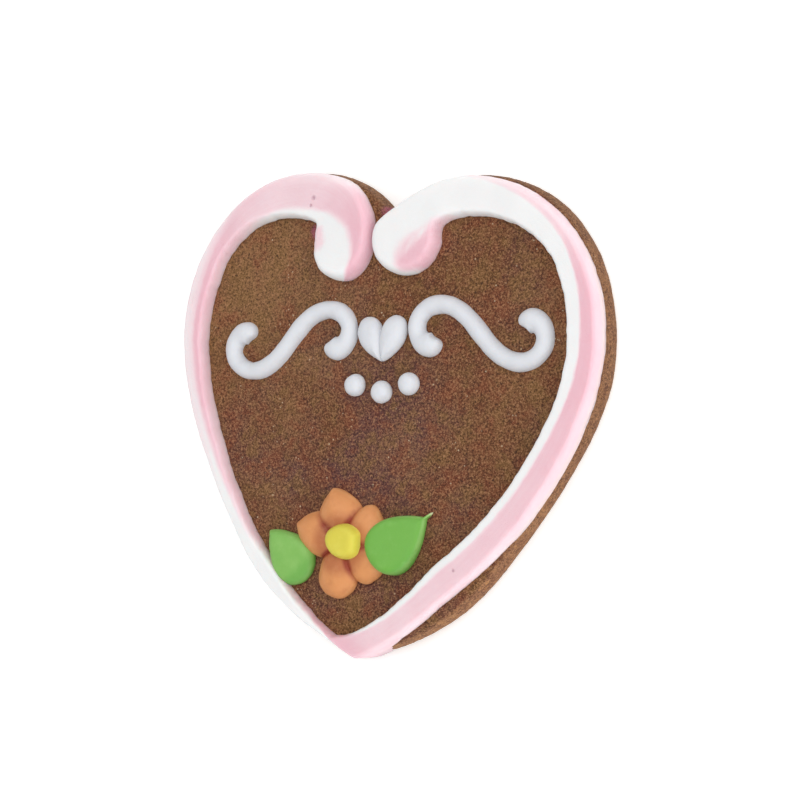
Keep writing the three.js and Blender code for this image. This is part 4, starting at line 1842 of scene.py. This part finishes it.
@dataclass
class Ornament:
    """The grey-white piping across the upper half: two scrolls, a small heart and three dots.

    A scroll bends evenly more towards its ends, by turn degrees, from a middle that slants down.
    Its stroke is pinched by up to twice pinch and swells to a bulb at each end.
    """

    SCROLL_SEED: ClassVar[int] = 20
    HEART_SEED: ClassVar[int] = 30
    DOT_SEED: ClassVar[int] = 40
    PINCH_SEED: ClassVar[int] = 4

    workshop: Workshop
    base: float
    at: Pair = (0.8, 18.6)
    tilt: float = 5.0
    half_length: float = 32.0
    turn: float = 275.0
    slant: float = 50.0
    half_width: float = 2.4
    bulb: float = 3.1
    pinch: float = 0.04
    pinch_lengths: tuple[float, ...] = (13.0, 7.0, 4.0)
    least_half: float = 0.02
    height: float = 2.7
    sink: float = 0.5
    offset: float = 26.8
    steps: int = 200
    spiral_steps: int = 64
    heart_drop: Drop = Drop(length=12, width=7, height=3, sharpness=0.7)
    spread: float = 24.0
    heart_at: Pair = (2.6, -0.6)
    dot: Drop = Drop(length=5.6, width=5.6, height=2.9)
    dots: tuple[Pair, ...] = ((-7.6, -11.6), (0.0, -13.4), (7.6, -11.6))
    relief: Relief = Relief(0.1, 2.6, grain_size=0.8)
    finish: IcingFinish = WHITE_ICING

    def _placed(self, flat: Any) -> np.ndarray:
        """Returns (x, y) rows turned and moved to the ornament's place on the heart."""
        return turned(np.asarray(flat), self.tilt) + np.asarray(self.at)

    def _spiral(self, distances: np.ndarray, hand: Hand) -> np.ndarray:
        """Points of a line whose bend grows evenly both ways from its straight middle.

        Args:
            distances: How far each is from the middle.
            hand: Which way it is mirrored.

        Returns:
            (x, y) rows in the ornament's own frame.
        """
        share = (np.arange(self.spiral_steps) + 0.5) / self.spiral_steps
        here = distances[:, None] * share[None]
        turn = math.radians(self.turn) * (here / self.half_length) ** 2 - math.radians(self.slant)
        x = hand.value * (np.cos(turn).mean(1) * distances + self.offset)
        return np.stack([x, np.sin(turn).mean(1) * distances], axis=1)

    def _half_widths(self, distances: np.ndarray, hand: Hand) -> np.ndarray:
        """How wide a scroll's stroke is on each side.

        Args:
            distances: How far each place is from the scroll's middle.
            hand: Which scroll it is.

        Returns:
            One number for each place, never quite nothing.
        """
        from_end = self.half_length - np.abs(distances)
        bulge = np.exp(-(((from_end - self.bulb) / self.bulb) ** 2))
        swollen = self.half_width + (self.bulb - self.half_width) * bulge
        half = swollen * np.sqrt(1 - (1 - np.minimum(1, from_end / self.bulb)) ** 2)
        uneven = Wobble(1.0, self.pinch_lengths, self.PINCH_SEED + hand.value)
        half *= 1 - self.pinch * (1 + uneven.along(distances))
        return np.maximum(half, self.least_half)

    def _scroll(self, hand: Hand, material: Material) -> None:
        """Pipes one scroll, with a bulb at each end, and hands it over.

        Args:
            hand: Which scroll it is.
            material: Its material.
        """
        share = np.linspace(0.0, 1.0, self.steps + 1)
        distances = -self.half_length * np.cos(math.pi * share)
        flat = self._placed(self._spiral(distances, hand))
        line = np.column_stack([flat, np.full(len(flat), self.base)]) * MM
        side = hand.name.lower()
        data = bpy.data.meshes.new(f"piped_scroll_{side}")
        data.from_pydata(line.tolist(), [(i, i + 1) for i in range(len(line) - 1)], [])
        widths = data.attributes.new("half_width", "FLOAT", "POINT")
        half = self._half_widths(distances, hand) * MM
        widths.data.foreach_set("value", half.astype(np.float32))
        scroll = link_object(f"piped_scroll_{side}", data)
        self.workshop.piping.apply(
            scroll,
            material,
            Base=self.base * MM,
            Height=self.height * MM,
            Half_width=self.half_width * MM,
            Sink=self.sink * MM,
        )
        self.workshop.roughen(scroll, material, self.relief, self.SCROLL_SEED + hand.value)
        self.workshop.place(scroll, Slot.WHITE, f"scroll_{side}")

    def build(self) -> None:
        """Makes the whole ornament and hands it over."""
        material = self.finish.material()
        for hand in Hand:
            self._scroll(hand, material)
        x, y = self.heart_at
        halves = []
        for k, side in enumerate((1, -1)):
            at = self._placed((side * x, y))
            heading = -90 - side * self.spread + self.tilt
            halves.append(self.heart_drop.mesh(heading, at, self.base, self.HEART_SEED + k))
        heart = mesh_object("small_piped_heart", *joined(halves))
        self.workshop.roughen(heart, material, self.relief, self.HEART_SEED + 1)
        self.workshop.place(heart, Slot.WHITE, "piped_heart")
        for k, at in enumerate(self.dots, start=1):
            seed = self.DOT_SEED + k
            drop = self.dot.mesh(self.tilt, self._placed(at), self.base, seed)
            dot = mesh_object(f"piped_dot_{k}", *drop)
            self.workshop.roughen(dot, material, self.relief, seed)
            self.workshop.place(dot, Slot.WHITE, f"dot_{k}")


# ---- Flower and leaves -----------------------------------------------------------------------


@dataclass(frozen=True)
class Petal:
    """A petal: which way it points, how far it reaches and its drop, whose length follows."""

    heading: float
    reach: float
    drop: Drop


@dataclass
class Flower:
    """The sugar flower: five petals pressed together round a yellow centre.

    crease is how near another petal a point has to be to take painted shade, by crease_depth, which
    fades by crease_fading over crease_reach from the middle. The petals take painted shade by
    ring_depth round the centre, where ring gives the distances over which that ends.
    """

    PETAL_SEED: ClassVar[int] = 50
    CENTRE_SEED: ClassVar[int] = 60

    workshop: Workshop
    base: float
    at: Pair = (-4.0, -32.3)
    start: float = 1.0
    petals: tuple[Petal, ...] = (
        Petal(35, 12.2, Drop(0, 11.0, 3.6, 0, 3.0, crest=0.1, square=3.9)),
        Petal(110, 14.2, Drop(0, 13.6, 4.3, 0.62, 2.4, crest=0.55)),
        Petal(166, 15.1, Drop(0, 11.6, 4.1, 0.55, 2.5, crest=0.3, square=2.2)),
        Petal(261, 13.5, Drop(0, 11.2, 4.0, 0, 2.8, crest=0.12, square=2.2)),
        Petal(331, 12.4, Drop(0, 11.0, 3.6, 0, 2.8, crest=0.12, square=2.3)),
    )
    centre: Drop = Drop(length=11.0, width=9.2, height=6.1, fullness=6.5, cut=4.6)
    centre_at: Pair = (1.4, 0.8)
    crease: float = 1.3
    crease_depth: float = 0.78
    crease_fading: float = 0.8
    crease_reach: Pair = (5.0, 14.0)
    ring: Pair = (5.4, 9.0)
    ring_depth: float = 0.5
    # How strong the painted highlight on the petals' rims is.
    rim_highlight_strength: float = 0.5
    petal_relief: Relief = Relief(0.16, 3.0)
    centre_relief: Relief = Relief(0.06, 3.0)
    petal_finish: IcingFinish = ORANGE_ICING
    centre_finish: IcingFinish = YELLOW_ICING

    def _petal_marks(self, points: np.ndarray, others: np.ndarray, marks: Marks) -> Marks:
        """What a petal's points keep, darker in its creases and round the centre.

        Args:
            points: The petal's points.
            others: The points of the other petals.
            marks: What its drop keeps.

        Returns:
            The new marks.
        """
        # Painted shade in the creases near other petals and round the centre, which also weakens
        # the painted rim highlight.
        out = np.linalg.norm(points[:, :2] - self.at, axis=1)
        fading = 1 - self.crease_fading * smooth_step(out, *self.crease_reach)
        creases = closeness(points, others, self.crease) * fading
        round_centre = 1 - smooth_step(out, *self.ring)
        shade_and_deep_tone = np.clip(creases * self.crease_depth + round_centre * self.ring_depth, 0, 1)
        return {**marks, "shade_and_deep_tone": shade_and_deep_tone, "rim": marks["rim"] * self.rim_highlight_strength * (1 - shade_and_deep_tone)}

    def build(self) -> None:
        """Makes the petals and the centre and hands them over."""
        middle = np.asarray(self.at)
        made = []
        for k, petal in enumerate(self.petals, start=1):
            drop = replace(petal.drop, length=petal.reach - self.start)
            at = middle + ahead(petal.heading) * (self.start + drop.length / 2)
            made.append(drop.mesh(petal.heading, at, self.base, self.PETAL_SEED + k))

        orange = self.petal_finish.material()
        for k, (points, faces, marks) in enumerate(made, start=1):
            others = np.vstack([part[0] for n, part in enumerate(made, start=1) if n != k])
            marks = self._petal_marks(points, others, marks)
            piece = mesh_object(f"sugar_petal_{k}", points, faces, marks)
            self.workshop.roughen(piece, orange, self.petal_relief, self.PETAL_SEED + k)
            self.workshop.place(piece, Slot.ORANGE, f"petal_{k}")
        at = middle + np.asarray(self.centre_at)
        drop = self.centre.mesh(0.0, at, self.base, self.CENTRE_SEED)
        centre = mesh_object("sugar_centre", *drop)
        yellow = self.centre_finish.material()
        self.workshop.roughen(centre, yellow, self.centre_relief, self.CENTRE_SEED)
        self.workshop.place(centre, Slot.YELLOW, "flower_centre")


@dataclass(frozen=True)
class Leaf:
    """A leaf: its side, its shape, its place beside the flower, and how pale its face is."""

    hand: Hand
    drop: Drop
    at: Pair
    heading: float
    paleness: float = 0.0


@dataclass
class Leaves:
    """The two green leaves: flat drops, the right one leaning on the petals.

    Each takes a painted shade of deeper green, by depth, over the outermost part of its width on
    the side that faces shaded.
    """

    SEED: ClassVar[int] = 70

    workshop: Workshop
    base: float
    flower_at: Pair
    leaves: tuple[Leaf, ...] = (
        Leaf(
            Hand.RIGHT,
            Drop(18, 13.8, 3.5, 0.9, 11, lean=-0.5, tail=2.4, wobble=0.01),
            at=(15.2, 2.5),
            heading=43.0,
        ),
        Leaf(
            Hand.LEFT,
            Drop(16.4, 12.2, 2.8, 0.8, 6, wobble=0.015),
            at=(-16.2, -4.1),
            heading=139.0,
            paleness=0.6,
        ),
    )
    shaded: float = -42.0
    outermost: Pair = (0.55, 1.05)
    depth: float = 0.55
    relief: Relief = Relief(0.1, 4.0)
    finish: IcingFinish = GREEN_ICING

    def build(self) -> None:
        """Makes both leaves and hands them over."""
        green = self.finish.material()
        for leaf in self.leaves:
            name = f"leaf_{leaf.hand.name.lower()}"
            seed = self.SEED + leaf.hand.value
            middle = np.asarray(self.flower_at) + np.asarray(leaf.at)
            points, faces, marks = leaf.drop.mesh(leaf.heading, middle, self.base, seed)
            aside = (points[:, :2] - middle) @ ahead(self.shaded) / (leaf.drop.width / 2)
            # Painted shade: the outermost part on the shaded side is mixed towards a deeper green.
            marks["shade_and_deep_tone"] = smooth_step(aside, *self.outermost) * self.depth
            marks["rim"] = np.maximum(marks["rim"], leaf.paleness) * (1 - marks["shade_and_deep_tone"])
            piece = mesh_object(f"sugar_{name}", points, faces, marks)
            self.workshop.roughen(piece, green, self.relief, seed)
            self.workshop.place(piece, Slot.GREEN, name)


# ---- Studio ----------------------------------------------------------------------------------


@dataclass(frozen=True)
class Lamp:
    """A soft light: its name, its power and the way to it from the heart.

    towards counts along the camera's right, along its up and back towards the camera.
    """

    name: str
    power: float
    towards: Triple


@dataclass(frozen=True)
class Studio:
    """The pale floor, three soft lights above the heart and the camera of the photograph."""

    camera_at: Triple = (256.66, -7.91, 419.25)
    camera_right: Triple = (0.8524, 0.0939, -0.5144)
    camera_up: Triple = (-0.0679, 0.9953, 0.0692)
    lens: float = 90.0
    sensor: float = 36.0
    clip_start: float = 10.0
    lamps: tuple[Lamp, ...] = (
        Lamp("key_light", 2.6, (-0.45, 0.5, 1.0)),
        Lamp("fill_light", 2.7, (0.8, 0.15, 1.0)),
        Lamp("low_light", 2.2, (0.3, -0.9, 0.9)),
    )
    lamp_size: float = 800.0
    lamp_distance: float = 900.0
    sky: float = 0.67
    floor_size: float = 4000.0
    floor_glow: float = 0.26
    floor_clouds: Cloud = Cloud(60.0, 2.0, 0.5, 1.0)
    floor_cover: Cover = Cover(0.3, 0.7)
    floor_colours: tuple[Rgb, Rgb] = (srgb(251, 251, 251), srgb(249, 249, 249))

    def _camera_matrix(self) -> Matrix:
        """The camera's place and axes.

        Returns:
            The matrix from its axes to the world.
        """
        right = Vector(self.camera_right).normalized()
        back = right.cross(Vector(self.camera_up)).normalized()
        axes = Matrix((right, back.cross(right), back)).transposed().to_4x4()
        return Matrix.Translation(Vector(self.camera_at) * MM) @ axes

    def build(self) -> None:
        """Makes the camera, the lights and the floor."""
        scene = bpy.context.scene
        camera = link_object("camera", bpy.data.cameras.new("camera"))
        camera.data.lens = self.lens
        camera.data.sensor_width = self.sensor
        camera.data.clip_start = self.clip_start * MM
        camera.matrix_world = self._camera_matrix()
        scene.camera = camera
        scene.view_settings.view_transform = "Standard"
        axes = camera.matrix_world.to_3x3()
        for lamp in self.lamps:
            self._hang(lamp, (axes @ Vector(lamp.towards)).normalized())

        world = bpy.data.worlds.new("studio_white")
        scene.world = world
        world.use_nodes = True
        backdrop = world.node_tree.nodes["Background"]
        backdrop.inputs["Color"].default_value = (1.0, 1.0, 1.0, 1.0)
        backdrop.inputs["Strength"].default_value = self.sky
        self._floor()

    def _hang(self, lamp: Lamp, towards: Vector) -> None:
        """Hangs a square soft light, facing the heart.

        Args:
            lamp: Its name and power.
            towards: The unit vector from the heart to it.
        """
        light = bpy.data.lights.new(lamp.name, "AREA")
        light.energy = lamp.power
        light.size = self.lamp_size * MM
        hung = link_object(lamp.name, light)
        hung.location = towards * self.lamp_distance * MM
        hung.rotation_euler = towards.to_track_quat("Z", "Y").to_euler()

    def _floor(self) -> None:
        """Lays the pale floor."""
        half = self.floor_size / 2 * MM
        corners = [(-half, -half, 0), (half, -half, 0), (half, half, 0), (-half, half, 0)]
        data = bpy.data.meshes.new("pale_floor")
        data.from_pydata(corners, [], [(0, 1, 2, 3)])
        floor = link_object("pale_floor", data)
        s = Shader("pale_paper")
        cloud = s.cloud(self.floor_clouds).cover(self.floor_cover)
        inputs = {
            "Base Color": s.mix(cloud, *self.floor_colours),
            "Roughness": 0.9,
            "Specular IOR Level": 0.2,
            "Emission Color": (1.0, 1.0, 1.0, 1.0),
            "Emission Strength": self.floor_glow,
        }
        data.materials.append(s.finish(inputs))


def main() -> None:
    """Builds the heart from the slab up."""
    logging.basicConfig(level=logging.INFO, format="%(name)s: %(message)s")
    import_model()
    Studio().build()
    workshop = Workshop.open()
    slab = Slab(workshop)
    slab.build()
    Border(workshop, base=slab.thickness).build()
    Ornament(workshop, base=slab.thickness).build()
    flower = Flower(workshop, base=slab.thickness)
    flower.build()
    Leaves(workshop, base=slab.thickness, flower_at=flower.at).build()


if __name__ == "__main__":
    main()
